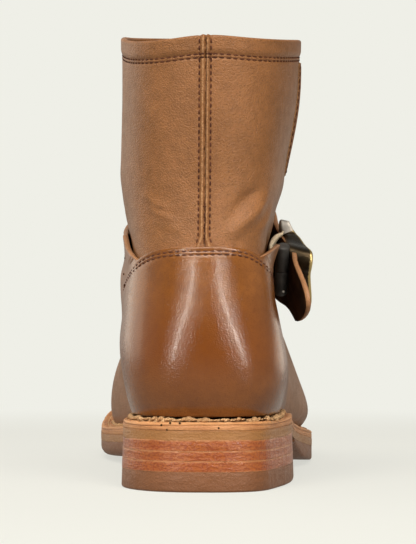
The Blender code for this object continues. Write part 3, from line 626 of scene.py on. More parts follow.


# %% [markdown]
# ## Creases
# Walking folds the ankle and the vamp, and the folds stay as soft ridges and troughs. Cloth simulation
# would put them anywhere; the photograph shows where they are. So each is drawn as a path of
# angles and rings with its own width and height, and it fades at both ends.

# %% Creases, listed one by one
CREASE_COLUMNS = ("path of angles and rings", "width", "height")
CREASES = (
    (((40.0, 8.05), (28.0, 7.45), (16.0, 6.95), (9.0, 6.55)), 2.6, 1.7),
    (((50.0, 7.75), (38.0, 7.2), (27.0, 6.75)), 2.5, 1.0),
    (((30.0, 8.0), (20.0, 7.75), (12.0, 7.3)), 2.1, -1.2),
    (((-34.0, 7.95), (-26.0, 7.65), (-16.0, 7.45)), 1.4, 0.8),
    (((-30.0, 7.6), (-20.0, 7.3), (-12.0, 7.05)), 1.5, 0.85),
    (((-32.0, 7.8), (-23.0, 7.48), (-14.0, 7.25)), 1.1, -0.55),
    (((-26.0, 7.2), (-17.0, 6.95), (-10.0, 6.8)), 1.5, 0.55),
    (((110.0, 4.2), (140.0, 4.75), (180.0, 4.95), (215.0, 4.8), (240.0, 4.3)), 5.0, -0.7),
    (((105.0, 3.4), (140.0, 4.05), (180.0, 4.3), (215.0, 4.1), (248.0, 3.5)), 4.5, -0.5),
    (((112.0, 3.85), (145.0, 4.4), (180.0, 4.6), (215.0, 4.45), (240.0, 3.95)), 4.0, 0.6),
    (((70.0, 7.6), (100.0, 7.9), (140.0, 8.6)), 4.5, -0.8),
    (((-75.0, 7.9), (-100.0, 8.2), (-140.0, 8.8)), 4.5, -0.8),
    (((80.0, 8.2), (110.0, 8.6), (150.0, 9.2)), 4.5, 0.7),
    (((-80.0, 8.5), (-110.0, 8.9), (-150.0, 9.4)), 4.5, 0.7),
)


def path_points(path, steps=24):
    """Places along a path of angles and rings, evenly by share, smoothed through its corners."""
    path = np.asarray(path, float)
    knots = np.linspace(0.0, 1.0, len(path))
    return spline_weights(knots, np.linspace(0.0, 1.0, steps)) @ path


def crease_relief(points):
    """Soft troughs and ridges that fade out at both ends."""
    relief = np.zeros(points.shape[:-1])
    for path, width, height in CREASES:
        way = path_points(path)
        line = last_point(way[:, 0], way[:, 1])
        gap = np.linalg.norm(points[..., None, :] - line, axis=-1)
        nearest = gap.argmin(axis=-1)
        fade = np.sin(np.pi * (nearest + 0.5) / len(line)) ** 0.8
        relief += height * fade * bell(gap.min(axis=-1), width)
    return relief


print("creases:", len(CREASES), "by", CREASE_COLUMNS)

# %% [markdown]
# ## Back seam and hem
# Two halves of the shaft meet in a seam down the back: their edges are pulled up into two lips beside a
# groove, and a row of sewing presses each side flat. The collar is turned over and held by two rows. A
# normal map would fake both, but they show on the silhouette of the collar, so they are real heights
# above the last.

# %% Relief of the back seam and the hem
SEAM_LOW_RING, SEAM_FRONT = 6.2, 60.0
SEAM_LIP, SEAM_GROOVE, SEAM_ROW = 0.85, 0.26, 2.1
SEAM_FLARE, SEAM_LEAN = 1.5, 0.7
HEM_ROWS = (6.8, 8.0)
WALL, SKIN_TOP = 2.0, TOP_RING - 0.042


def seam_spread(ring):
    """How far the seam's two lips part at its foot, above the counter's edge."""
    return SEAM_FLARE * (1 - smooth_step((ring - SEAM_LOW_RING) / 0.45))


def seam_lean(points):
    """The seam leans to the inner side towards its foot."""
    return SEAM_LEAN * np.clip((points[..., 2] - 165.0) / 80.0, -1.0, 0.0)


def seam_wander(points):
    """The groove between the lips wavers, as two hand-held hides meet."""
    height = points[..., 2]
    slow, quick = 0.14 * np.sin(1.3 * height), 0.09 * np.sin(3.1 * height + 1.0)
    return 0.3 + slow + quick + 0.05 * np.sin(7.3 * height)


def seam_relief(points, ring):
    """Two pulled-up lips beside a groove, with a dip under each row of stitches."""
    side = points[..., 0] - seam_lean(points)
    across, spread = np.abs(side), seam_spread(ring)
    behind = (points[..., 1] < SEAM_FRONT) * smooth_step((ring - SEAM_LOW_RING) / 0.12)
    lips = 0.62 * bell(across - SEAM_LIP - spread, 0.6)
    groove = 0.55 * bell(side - seam_wander(points), SEAM_GROOVE)
    return behind * (lips - groove - 0.32 * bell(across - SEAM_ROW - spread, 0.4))


def hem_relief(below_top):
    """A puffy turned edge, pulled down along two rows of stitches."""
    puff = 0.45 * smooth_step((HEM_ROWS[0] - below_top) / 2.2)
    dips = sum(0.35 * bell(below_top - row, 0.42) for row in HEM_ROWS)
    between = 0.2 * bell(below_top - sum(HEM_ROWS) / 2, 0.4)
    return puff + between - dips


def shaft_height(angle, ring):
    """How far the finished skin stands off the last's surface."""
    point, normal, up = last_frame(angle, ring)
    below_top = np.linalg.norm(last_point(angle, TOP_RING) - point, axis=-1)
    return seam_relief(point, ring) + hem_relief(below_top) + crease_relief(point)


print("seam lips", SEAM_LIP, "mm either side; hem rows", HEM_ROWS, "mm below the collar")

# %% [markdown]
# ## The upper
# The shaft and vamp are one hide pulled over the last, about two millimetres thick. A subdivided box
# would lose the seam, so the skin is a fine grid on the last's own surface: its relief is added along
# the normal, close rows at the hem and close columns at the seam carry it, and the same columns turn
# over the rim and run down inside as the lining.

# %% Rows and columns of the upper's skin
fine_back = [np.arange(-7.0, -2.0, 0.4), np.arange(-2.0, 2.01, 0.2), np.arange(2.4, 7.1, 0.4)]
wide_sides = [np.arange(8.0, 32.0, 1.5), np.arange(32.5, 327.0, 2.4), np.arange(328.0, 352.5, 1.5)]
skin_angle = np.concatenate(fine_back + wide_sides)
foot_rings, ankle_rings = np.arange(0.0, 6.15, 0.15), np.arange(6.2, 8.3, 0.065)
shaft_rings, hem_rings = np.arange(8.35, 10.4, 0.09), np.arange(10.42, SKIN_TOP - 0.005, 0.0165)
skin_ring = np.concatenate([foot_rings, ankle_rings, shaft_rings, hem_rings, [SKIN_TOP]])
angle_grid, ring_grid = np.meshgrid(skin_angle, skin_ring, indexing="ij")
height = shaft_height(angle_grid, ring_grid)
outer = last_point(angle_grid, ring_grid, height)
print("skin:", len(skin_angle), "columns,", len(skin_ring), "rows; highest", height.max().round(2), "mm")

# %% The rolled rim and the lining
RIM_TURNS, RIM_ROUND = 9, 0.75
top_point, top_normal, top_up = last_frame(skin_angle, SKIN_TOP)
top_up /= np.linalg.norm(top_up, axis=-1)[:, None]
rim_radius = (height[:, -1] + WALL) / 2
rim = []
for turn in np.linspace(0.0, np.pi, RIM_TURNS)[1:-1]:
    stand = -WALL + rim_radius * (1 + np.cos(turn))
    rise = RIM_ROUND * rim_radius * np.sin(turn)
    rim.append(top_point + top_normal * stand[:, None] + top_up * rise[:, None])
inner_ring = np.concatenate([np.arange(SKIN_TOP, 9.9, -0.05), np.linspace(9.9, 0.0, 56)])
inner = last_point(*np.meshgrid(skin_angle, inner_ring, indexing="ij"), -WALL)
skin = np.concatenate([outer, np.stack(rim, axis=1), inner], axis=1)
print("rim", len(rim), "rows; lining", len(inner_ring), "rows")

# %% The upper as one piece, its seam shaded and frayed
FACING_ROWS = 14
columns, rows = skin.shape[:2]
lining_start = outer.shape[1] + len(rim) + FACING_ROWS
face_finish = (np.tile(np.arange(rows - 1), columns) >= lining_start).astype(int)
seam_side = outer[..., 0] - seam_lean(outer)
behind = (outer[..., 1] < SEAM_FRONT) & (ring_grid > SEAM_LOW_RING)
fold, frayed = np.zeros((2, columns, rows))
# painted shade down the seam's groove
fold[:, :outer.shape[1]] = 0.95 * behind * bell(seam_side - seam_wander(outer), 0.24)
lip_gap = np.abs(seam_side) - SEAM_LIP - seam_spread(ring_grid)
frayed[:, :outer.shape[1]] = 0.62 * behind * bell(lip_gap, 0.75)
add_piece("upper_skin", skin, grid_faces(columns, rows, closed=True), (shaft_leather, lining_hide),
          ("upper",), "shaft_leather", face_finish, fold=fold, rim=frayed)

# %% [markdown]
# ## Counter, wings and strap: one flat pattern piece
# The burnished counter, its two wings and the instep strap are cut from one hide, so no seam shows
# between them. Three separate skins would show their joints. Instead the piece is drawn as a pattern,
# an outline of angles and rings, filled with a fine triangulation, and lifted off the last: close on
# the heel, standing off at the wings, far out at the strap's hanging tip. Rows of points follow the
# rim, for its cut edge and stitches.

# %% Tables of the overlays
COUNTER_TOP_COLUMNS = ("angle", "ring")
COUNTER_TOP = ((-60, 5.3), (-45, 5.66), (-33, 5.98), (-25, 6.17), (0, 6.29), (20, 6.22), (27, 6.05),
               (35, 5.8), (48, 5.54), (60, 5.3))
COUNTER_FOOT, COUNTER_SIDE, COUNTER_REACH = 0.16, 66.0, 60.0
STRAP_COLUMNS = ("angle", "low_ring", "high_ring", "low_lift", "high_lift")
STRAP_EDGES = (
    (-307, 2.95, 6.2, 10.3, 14.6), (-293, 3.6, 6.62, 8.7, 11.2), (-283, 4.35, 6.9, 7.2, 7.9),
    (-270, 4.85, 7.2, 4.1, 2.7), (-245, 5.75, 7.8, 2.1, 0.7), (-215, 7, 8.1, 0.8, 0.8),
    (-180, 7.4, 8.4, 0.8, 0.8), (-145, 6.8, 8.1, 0.8, 0.8), (-110, 5.7, 7.6, 0.7, 0.7),
    (-80, 4.6, 7.15, 1.2, 0.4), (-64, 4.1, 6.95, 1.2, 0.4),
)
STRAP_END = ((0.0, -292.0), (0.36, -311.0), (1.0, -292.0))
WING_NOTCH, WING_START, WING_END = -33.0, -64.0, -75.0
WING_RING, STRAP_CROWN = 5.98, 2.6
TAB_NOTCH, TAB_LIFT = 27.0, 4.0
TAB_END = ((61.6, 4.7), (66.0, 4.9), (66.0, 5.75), (63.5, 6.75))
COUNTER_THICK, STRAP_THICK = 1.6, 2.0


def counter_top(angle):
    return spline(COUNTER_TOP, COUNTER_TOP_COLUMNS, "ring", np.asarray(angle, float))


def strap_edge(name, angle):
    return spline(STRAP_EDGES, STRAP_COLUMNS, name, angle)


def strap_ring(angle, across):
    low, high = strap_edge("low_ring", angle), strap_edge("high_ring", angle)
    return low + (high - low) * across


def wing_high_ring(angle):
    """Upper edge of the medial wing, from its notch in the counter's top edge to the strap."""
    share = (WING_NOTCH - np.asarray(angle, float)) / (WING_NOTCH - WING_START)
    return WING_RING + (strap_edge("high_ring", np.array(WING_START)) - WING_RING) * share


print("strap from", WING_START, "to", STRAP_END[1][1], "degrees")

# %% [markdown]
# ## Measuring on the curved surface
# A pattern maker marks rows a set distance from an edge, on the leather and not on paper. Angles and
# rings aren't millimetres, so these helpers walk along a path by its length on the last, move it
# sideways by a distance, and tell how far a point is from a line.


# %% Paths on the last, measured in millimetres
def even_path(path, pitch):
    """Places along a path of angles and rings, a set distance apart on the last."""
    path = np.asarray(path, float)
    fine = np.linspace(0, len(path) - 1, 24 * (len(path) - 1) + 1)
    dense = np.stack([np.interp(fine, np.arange(len(path)), path[:, i]) for i in (0, 1)], axis=1)
    steps = np.linalg.norm(np.diff(last_point(*dense.T), axis=0), axis=1)
    run = np.concatenate([[0.0], np.cumsum(steps)])
    at = np.linspace(0.0, run[-1], max(2, int(round(run[-1] / pitch)) + 1))
    return np.stack([np.interp(at, run, dense[:, i]) for i in (0, 1)], axis=1)


def shift_path(path, distance, closed=False):
    """The path moved to its left by a distance on the last."""
    path = np.asarray(path, float)
    angle, ring = path.T
    sideways = last_surface(angle + HALF_DEGREE, ring) - last_surface(angle - HALF_DEGREE, ring)
    per_degree = np.linalg.norm(sideways, axis=1)
    per_ring = np.linalg.norm(last_frame(angle, ring)[2], axis=1)
    ahead = np.roll(path, -1, axis=0) - np.roll(path, 1, axis=0) if closed else np.gradient(path, axis=0)
    run = ahead * np.stack([per_degree, per_ring], 1)
    run /= np.linalg.norm(run, axis=1)[:, None]
    left = np.stack([-run[:, 1] / per_degree, run[:, 0] / per_ring], axis=1)
    return path + left * distance


def distance_to(points, line):
    """Distance of each point to the nearest point of a dense line."""
    tree = kdtree.KDTree(len(line))
    for i, place in enumerate(line):
        tree.insert(place, i)
    tree.balance()
    return np.array([tree.find(point)[2] for point in points])


print("counter's top edge:", len(even_path(COUNTER_TOP, 1.0)), "mm long")

# %% [markdown]
# ## Filling a pattern
# A filled outline of one flat face would not bend with the last, and a grid would give a stair-stepped
# rim. So rows of points run along the rim, a net of points fills the middle, and a constrained
# triangulation joins them flat. Lifted onto the last it gets a rounded top edge, a suede back and a cut
# rim between the two.

# %% Filling a pattern piece
RIM_ROWS = (0.14, 0.36, 0.75, 1.25, 1.7, 2.1, 2.6, 3.0, 3.4)
RIM_PITCH, ROW_ROOM, DENSE_PITCH, RIM_RADIUS, RIM_WORN = 0.8, 0.8, 0.2, 0.45, 0.3
FLAT = np.array([0.6, 11.0])
GLOSS_REACH, MATT_REACH = 30.0, 22.0


def fill_outline(loop, edge_line, spacing):
    """Angles and rings inside a loop, the triangles between them, and where the loop's own points went."""
    inside = [shift_path(loop, row, closed=True) for row in RIM_ROWS]
    low, high = loop.min(axis=0) * FLAT, loop.max(axis=0) * FLAT
    axes = [np.arange(start, end, spacing) for start, end in zip(low, high)]
    net = np.stack(np.meshgrid(*axes), -1)
    net[1::2, :, 0] += spacing / 2
    candidates = np.vstack(inside + [net.reshape(-1, 2) / FLAT])
    reach = distance_to(last_point(*candidates.T), edge_line)
    row_room = np.repeat(ROW_ROOM * np.array(RIM_ROWS), len(loop))
    wanted = np.concatenate([row_room, np.full(net.size // 2, RIM_ROWS[-1] + 0.5)])
    places = [Vector(place) for place in np.vstack([loop, candidates[reach > wanted]]) * FLAT]
    filled = geometry.delaunay_2d_cdt(places, [], [list(range(len(loop)))], 1, 1e-5)
    first = {source: i for i, sources in enumerate(filled[3]) for source in sources}
    return np.array(filled[0]) / FLAT, filled[2], [first[i] for i in range(len(loop))]


def pattern_piece(name, outline, thickness, lift, relief, finishes, spacing=1.5, raw=None, burnish_and_shade=None,
                  **piece):
    """A closed leather skin over an outline, thick as asked, with a rounded cut rim, lifted off the last."""
    closed = np.vstack([outline, outline[:1]])
    edge_line = last_point(*even_path(closed, DENSE_PITCH).T)
    flat, triangles, rim = fill_outline(even_path(closed, RIM_PITCH)[:-1], edge_line, spacing)
    angle, ring = flat.T
    base = last_point(angle, ring)
    depth = distance_to(base, edge_line)
    depth[rim] = 0.0
    round_off = RIM_RADIUS * (1 - np.sqrt(1 - np.clip(1 - depth / RIM_RADIUS, 0.0, 1.0) ** 2))
    stand, thick = lift(angle, ring), thickness(angle, ring)
    top = last_point(angle, ring, stand + thick - round_off + relief(angle, ring, base, depth))
    under = last_point(angle, ring, stand - 0.05)
    count = len(flat)
    faces = [list(face) for face in triangles] + [[count + i for i in face[::-1]] for face in triangles]
    face_finish = [0] * len(triangles) + [1] * len(triangles)
    for here, after in zip(rim, rim[1:] + rim[:1]):
        faces.append([count + here, count + after, after, here])
        face_finish.append(0)
    worn = np.clip(1.0 - depth / RIM_WORN, 0.0, 1.0)
    if raw:
        worn = np.maximum(worn, raw(angle, ring))
    # burnish and painted shade: darker on the heel's bulge than on its sides and foot
    deep = burnish_and_shade(base, angle) if burnish_and_shade else 0 * angle
    matt = smooth_step((np.abs(angle) - GLOSS_REACH) / MATT_REACH)
    marks = {"rim": worn, "burnish_and_shade": deep, "matt": matt}
    add_piece(name, np.vstack([top, under]), faces, finishes, face_finish=face_finish,
              **{label: np.tile(values, 2) for label, values in marks.items()}, **piece)


print("rim rows:", RIM_ROWS, "mm")


# %% Outline of the counter with its wings and strap
def edge_path(angle, ring):
    return np.stack([angle, ring + 0 * angle], axis=1)


across = np.linspace(1.0, 0.0, 13)
end_across, end_angle = zip(*STRAP_END)
tip_angle = spline_weights(end_across, across) @ np.array(end_angle)
top_angle = np.linspace(TAB_NOTCH, WING_NOTCH, 28)
wing_angle = np.linspace(WING_NOTCH, WING_START, 8)
high_angle = np.linspace(WING_START, tip_angle[0], 50)
low_angle = np.linspace(tip_angle[-1], WING_START, 50)
foot_angle = np.linspace(-COUNTER_SIDE, COUNTER_SIDE, 30)
counter_edge = edge_path(top_angle, counter_top(top_angle))
wing_edge = edge_path(wing_angle, wing_high_ring(wing_angle))
strap_high = edge_path(high_angle, strap_ring(high_angle, 1.0))
strap_tip = edge_path(tip_angle, strap_ring(tip_angle, across))
strap_low = edge_path(low_angle, strap_ring(low_angle, 0.0))
counter_foot = edge_path(foot_angle, COUNTER_FOOT)
STRAP_ROOT = (-62.2, 3.6)
strap_outline = np.vstack([counter_foot, TAB_END, counter_edge, wing_edge[1:-1], strap_high, strap_tip[1:-1],
                           strap_low, [STRAP_ROOT]])
print("outline corners:", len(strap_outline))

# %% [markdown]
# ## How the strap lies
# The hide is pressed close on the heel, lifts off along the medial wing, bows over the instep and hangs
# free at its tip, where the buckle pulls it out. A shrinkwrap modifier would press it flat everywhere,
# so its distance from the last is a sum of simple parts: hang, wing, tab and crown. Sewing dips it, and
# one soft crease marks it.

# %% Thickness, stand-off, stitched dips and a soft crease
STITCH_ROWS = (1.7, 3.0)
SEAM_START, SEAM_END = ((48.0, 5.48), (42.0, 5.66)), ((-46.0, 5.6), (-53.0, 5.32))
CREASE_WAY = ((56.0, 3.05), (60.0, 2.6), (62.0, 2.15), (61.5, 1.8))
CLOSE, CROWN_ACROSS, CROWN_ANGLE = 0.2, 0.52, -76.0
seam_way = np.vstack([SEAM_START, counter_edge[1:-1], SEAM_END])
seam_line = last_point(*even_path(seam_way, DENSE_PITCH).T)
crease_line = last_point(*even_path(CREASE_WAY, DENSE_PITCH).T)


def strap_thickness(angle, ring):
    return COUNTER_THICK + (STRAP_THICK - COUNTER_THICK) * smooth_step((WING_NOTCH - angle) / 30.0)


def near_top(angle):
    """The counter's top edge, held at its ends."""
    return counter_top(np.clip(angle, -COUNTER_REACH, COUNTER_REACH))


def strap_lift(angle, ring):
    """Close on the heel, standing off along the medial wing's edge, then as far out as the strap hangs."""
    low, high = strap_edge("low_ring", angle), strap_edge("high_ring", angle)
    across = np.clip((ring - low) / (high - low), 0.0, 1.0)
    hang = strap_edge("low_lift", angle) * (1 - across) + strap_edge("high_lift", angle) * across
    on_strap = smooth_step((-56.0 - angle) / 10.0)
    share = np.clip((WING_NOTCH - angle) / (WING_NOTCH - WING_START), 0.0, 1.3)
    rise = (ring - near_top(angle)) / (wing_high_ring(angle) - near_top(angle) + 1e-6)
    on_wing = smooth_step(rise) * (angle < WING_NOTCH) * (angle > WING_END)
    wing = 0.9 * np.sin(np.pi * np.clip(share / 1.3, 0.0, 1.0)) * on_wing
    out = smooth_step((angle - TAB_NOTCH) / (TAB_END[-1][0] - TAB_NOTCH))
    tab = TAB_LIFT * out * np.clip((ring - TAB_END[0][1]) / (TAB_END[-1][1] - TAB_END[0][1]), 0.0, 1.0)
    crown = STRAP_CROWN * bell(across - CROWN_ACROSS, 0.24) * bell(angle - CROWN_ANGLE, 17.0)
    return CLOSE + (hang - CLOSE) * on_strap + wing + tab + crown


def strap_relief(angle, ring, base, depth):
    to_seam = distance_to(base, seam_line)
    dips = sum(0.28 * bell(to_seam - row, 0.4) for row in STITCH_ROWS)
    pucker = 0.2 * bell(to_seam - sum(STITCH_ROWS) / 2, 0.4)
    on_heel = (angle > WING_END) * (ring < near_top(angle) + 0.4)
    crease = 0.45 * bell(distance_to(base, crease_line), 0.6)
    return (pucker - dips) * on_heel - crease


def tab_fibre(angle, ring):
    """The tab's end is cut and worn down to its fibre."""
    return 0.66 * smooth_step((angle - 42.0) / 16.0) * smooth_step((ring - 4.6) / 0.7)


def heel_burnish_and_shade(base, angle):
    """Darkest on the heel's bulge, fading to its top edge, its foot and its sides: part burnishing,
    part painted shade, with the paler sides and foot standing for the reflection they catch.
    """
    return bell(base[:, 2] - 51.0, 17.0) * bell(angle, 62.0)


pattern_piece("counter_and_strap", strap_outline, strap_thickness, strap_lift, strap_relief,
              (counter_leather, suede_back_and_hole_shade), raw=tab_fibre, burnish_and_shade=heel_burnish_and_shade,
              replaces=("heel_counter", "strap", "strap_tab"), slot="counter_leather")

# %% [markdown]
# ## Side panel
# On the lateral side a second layer of shaft leather runs down from the hem in a long curve, sewn with
# one row along its rear edge and skived thin there, so that it hardly stands out. It is another pattern
# piece on the same surface, thinner than the counter.

# %% Side panel
PANEL_COLUMNS = ("along", "rear_angle", "front_angle", "ring")
PANEL_EDGE = ((0, 84, 126, 8.55), (0.15, 81, 131, 8.8), (0.5, 83, 132, 9.55), (1, 80, 132, 10.62))
PANEL_THICK, PANEL_SKIVE, PANEL_ROW, PANEL_CLOSE = 1.1, 0.3, 0.8, 0.15
along = np.linspace(0.0, 1.0, 24)
rear, front, panel_ring = (spline(PANEL_EDGE, PANEL_COLUMNS, name, along) for name in PANEL_COLUMNS[1:])
panel_rear = edge_path(rear, panel_ring)
panel_low = edge_path(np.linspace(rear[0], front[0], 12), panel_ring[0])
panel_outline = np.vstack([panel_low[1:-1], edge_path(front, panel_ring), panel_rear[::-1]])


def panel_relief(angle, ring, base, depth):
    return -0.15 * bell(depth - PANEL_ROW, 0.45)


def panel_thickness(angle, ring):
    """Skived thin along the rear edge, most at its two ends."""
    past_rear = angle - np.interp(ring, panel_ring, rear)
    along = np.clip((ring - panel_ring[0]) / (panel_ring[-1] - panel_ring[0]), 0.0, 1.0)
    bulge = 0.3 + 0.7 * np.sin(np.pi * along)
    return PANEL_SKIVE + (PANEL_THICK - PANEL_SKIVE) * smooth_step(past_rear / 6.0) * bulge


def panel_lift(angle, ring):
    return PANEL_CLOSE + 0 * angle


pattern_piece("side_panel_skin", panel_outline, panel_thickness, panel_lift, panel_relief,
              (shaft_leather, suede_back_and_hole_shade), spacing=1.8, replaces=("side_panel",), slot="shaft_leather")

# %% [markdown]
# ## The sole, layer by layer
# From the floor up: a rubber top lift, three leather lifts, a leather midsole and a welt, with a rubber
# half sole under the ball. Each is cut a little wide and then trimmed on a wheel, so its edge is nearly
# flush, with small soft corners. An extruded outline would have razor edges; here each layer is a stack
# of loops round its outline, moved in by a corner profile, with a flat net over its top and bottom.

# %% Loops round the outline
LAYER_STEPS = 90


def outline_loop(start, end):
    """Loop round a stretch of the sole with, for each station, its two places in the loop."""
    y = stations(start, end, LAYER_STEPS)
    medial, lateral = sole_edges(y)
    right, left = np.stack([lateral, y], 1), np.stack([medial, y], 1)
    first, last = int(start <= 0.0), LAYER_STEPS - int(end >= SOLE_LENGTH)
    loop = np.vstack([right, left[first:last][::-1]])
    order = np.arange(LAYER_STEPS)
    back = LAYER_STEPS + (last - 1 - order)
    back[order < first] = 0
    back[order >= last] = LAYER_STEPS - 1
    return loop, order, back


def inward_of(loop):
    along = np.roll(loop, -1, axis=0) - np.roll(loop, 1, axis=0)
    return np.stack([-along[:, 1], along[:, 0]], 1) / np.linalg.norm(along, axis=1)[:, None]


def hand_trim(loop, amount, seed):
    """A slow waver of the trimmed edge."""
    turn = np.linspace(0.0, 2 * np.pi, len(loop), endpoint=False)
    waver = np.sin(5 * turn + seed) + 0.6 * np.sin(13 * turn + 2.3 * seed) + 0.4 * np.sin(29 * turn + seed)
    return amount * waver / 2


def fore_lift(x, y):
    """The forefoot springs up towards the toe, more on its inner side."""
    inner = smooth_step((6.0 - x) / 30.0)
    return 1.9 * inner * smooth_step((y - 120.0) / 60.0) + 2.0 * smooth_step((y - 185.0) / 60.0)


def settle(y, amount):
    """How much lower a layer sits at the heel."""
    return amount * (1 - smooth_step((y - 45.0) / 55.0))


print("loops of", len(outline_loop(0.0, SOLE_LENGTH)[0]), "points")

# %% One trimmed layer
CORNER = tuple((1 - math.sin(turn), 1 - math.cos(turn)) for turn in np.linspace(0.0, math.pi / 2, 5))
FACE_INSET, LAYER_TRIM, CORNER_WEAR = 5.0, 0.12, 0.75
EDGE_ROWS = ((0.0, 0.0, 0.14), (0.0, 0.0, 0.66))


def add_layer(name, start, end, bottom, top, corner, finish, low_corner=None, flare=(0.0, 0.0), seed=1.0,
              **piece):
    """A trimmed layer with soft corners: rows of loops from its underside to its top, then both faces."""
    loop, right, left = outline_loop(start, end)
    inward = inward_of(loop)
    trim = hand_trim(loop, LAYER_TRIM, seed)
    under = corner if low_corner is None else low_corner(loop)
    profile = [(FACE_INSET, 0.0, 0.0), *[(under * inset, under * rise, 0.0) for inset, rise in CORNER]]
    corners = len(profile)
    profile += EDGE_ROWS if low_corner is None else ()
    profile += [(corner * inset, -corner * rise, 1.0) for inset, rise in CORNER[::-1]]
    profile += [(FACE_INSET, 0.0, 1.0)]
    rows = []
    for inset, rise, share in profile:
        grown = flare[0] * (1 - share) + flare[1] * share
        place = loop + inward * (inset - grown + trim)[:, None]
        y = np.clip(place[:, 1], 0.0, SOLE_LENGTH)
        z = bottom(y) * (1 - share) + top(y) * share + rise + fore_lift(place[:, 0], y)
        rows.append(np.column_stack([place, z]))
    grid = np.stack(rows, axis=1)
    count = grid.shape[1]
    faces = grid_faces(*grid.shape[:2], closed=True).tolist()
    for i in range(LAYER_STEPS - 1):
        low = [right[i], left[i], left[i + 1], right[i + 1]]
        faces.append([k * count for k in dict.fromkeys(low)])
        faces.append([k * count + count - 1 for k in dict.fromkeys(low[::-1])])
    worn = np.full(grid.shape[:2], CORNER_WEAR)
    worn[:, [0, corners, corners + 1, -1]] = 0.0
    add_piece(name, grid, [face for face in faces if len(face) > 2], (finish,), rim=worn, **piece)


# %% [markdown]
# ## Heel stack
# Three leather lifts are glued and pegged on a rubber top lift, then trimmed together, so the stack
# flares slightly to the floor. One block with painted lines would lose the small steps between the
# lifts; four layers from the same function keep them, each with its own waver of the trimming wheel.

# %% Top lift and three leather lifts
HEEL_LENGTH = 70.0
HEEL_LAYERS = (("heel_top_lift", 7.0), ("heel_lift_1", 3.6), ("heel_lift_2", 3.3), ("heel_lift_3", 3.7))
LIFT_CORNER, RUBBER_CORNER, HEEL_SETTLE, WELT_SETTLE, LIFT_SEAM = 0.1, 0.9, 1.3, 1.0, 0.02


def level_at(height):
    return lambda y: height + 0 * y


def rubber_corner(loop):
    return RUBBER_CORNER


base, full = 0.0, sum(thick + GAP for name, thick in HEEL_LAYERS)
for number, (name, thick) in enumerate(HEEL_LAYERS):
    crown = base + thick + GAP - LIFT_SEAM
    flares = [HEEL_FLARE * (1 - z / full) for z in (base, crown)]
    rubber = name == "heel_top_lift"
    finish, slot = (sole_rubber, "sole_rubber") if rubber else (stacked_leather, "stacked_leather")
    add_layer(name + "_skin", 0.0, HEEL_LENGTH, level_at(base), level_at(crown), LIFT_CORNER, finish,
              rubber_corner if rubber else None, flares, 1.0 + number, replaces=(name,), slot=slot)
    base += thick + GAP

# %% [markdown]
# ## Midsole and half sole
# A full-length leather midsole runs under the welt, and a rubber half sole is glued under the ball,
# skived thin where it starts so that no step shows. Both are the same trimmed layer between two heights
# that change along the foot; the half sole's lower corner is much rounder, most on its inner side,
# where it is worn.

# %% Midsole and half sole
HALF_SOLE_START, HALF_SOLE_TAPER, HALF_SOLE_REAR = 108.0, 34.0, 1.6
SOLE_CORNER, WELT_SEAT = 0.15, 0.1


def half_sole_bottom(y):
    skive = smooth_step((y - HALF_SOLE_START) / HALF_SOLE_TAPER)
    return tread_height(y) + (RUBBER - HALF_SOLE_REAR) * (1 - skive)


def half_sole_top(y):
    return tread_height(y) + RUBBER


def half_sole_corner(loop):
    return 1.2 + 2.2 * smooth_step(-loop[:, 0] / 20.0)


def midsole_low(y):
    return midsole_bottom(y) - GAP - settle(y, HEEL_SETTLE)


def welt_low(y):
    return welt_bottom(y) - WELT_SEAT - settle(y, WELT_SETTLE)


add_layer("midsole_skin", 0.0, SOLE_LENGTH, midsole_low, welt_low, SOLE_CORNER, midsole_leather, seed=2.4,
          replaces=("midsole",), slot="natural_leather")
add_layer("half_sole_skin", HALF_SOLE_START, SOLE_LENGTH, half_sole_bottom, half_sole_top, SOLE_CORNER,
          sole_rubber, half_sole_corner, seed=3.1, replaces=("outsole",), slot="sole_rubber")

# %% [markdown]
# ## Welt
# The welt is a strip of undyed leather, sewn to the upper's foot and stitched down to the midsole. Its
# top is fuzzy where the upper was roughed, its edge shows a split between its two plies, and a few awl
# holes are left in it. The strip is a closed ring of profiles, so its split is a real groove and its
# top really is uneven.

# %% Profile of the welt
WELT_PROFILE_COLUMNS = ("inset", "height share", "rim")
WELT_PROFILE = (
    (13.0, 0.0, 0.0), (0.25, 0.0, 0.2), (0.06, 0.05, 0.6), (0.0, 0.2, 0.0), (0.0, 0.45, 0.0),
    (0.05, 0.55, 0.1), (0.42, 0.60, 0.0), (0.08, 0.66, 0.2), (0.1, 0.8, 0.5), (0.3, 0.93, 1.0),
    (0.8, 1.0, 0.9), (1.6, 1.02, 0.3), (2.6, 1.0, 0.2), (3.4, 0.93, 0.0), (4.2, 0.99, 0.1),
    (5.6, 1.0, 0.0), (8.0, 1.0, 0.0), (13.0, 1.0, 0.0),
)
WELT_EXTRA, WELT_DROP, WELT_TRIM, WELT_FUZZ, WELT_SPLIT = 0.25, 0.3, 0.14, 0.16, 0.25
corners = outline_loop(0.0, SOLE_LENGTH)[0]
halfway = corners + (np.roll(corners, -1, axis=0) - corners) * 0.5
loop = np.stack([corners, halfway], axis=1).reshape(-1, 2)
inward = inward_of(loop)
turn = np.linspace(0.0, 2 * np.pi, len(loop), endpoint=False)
print("welt profile:", len(WELT_PROFILE), "rows of", WELT_PROFILE_COLUMNS, "at", len(loop), "places")

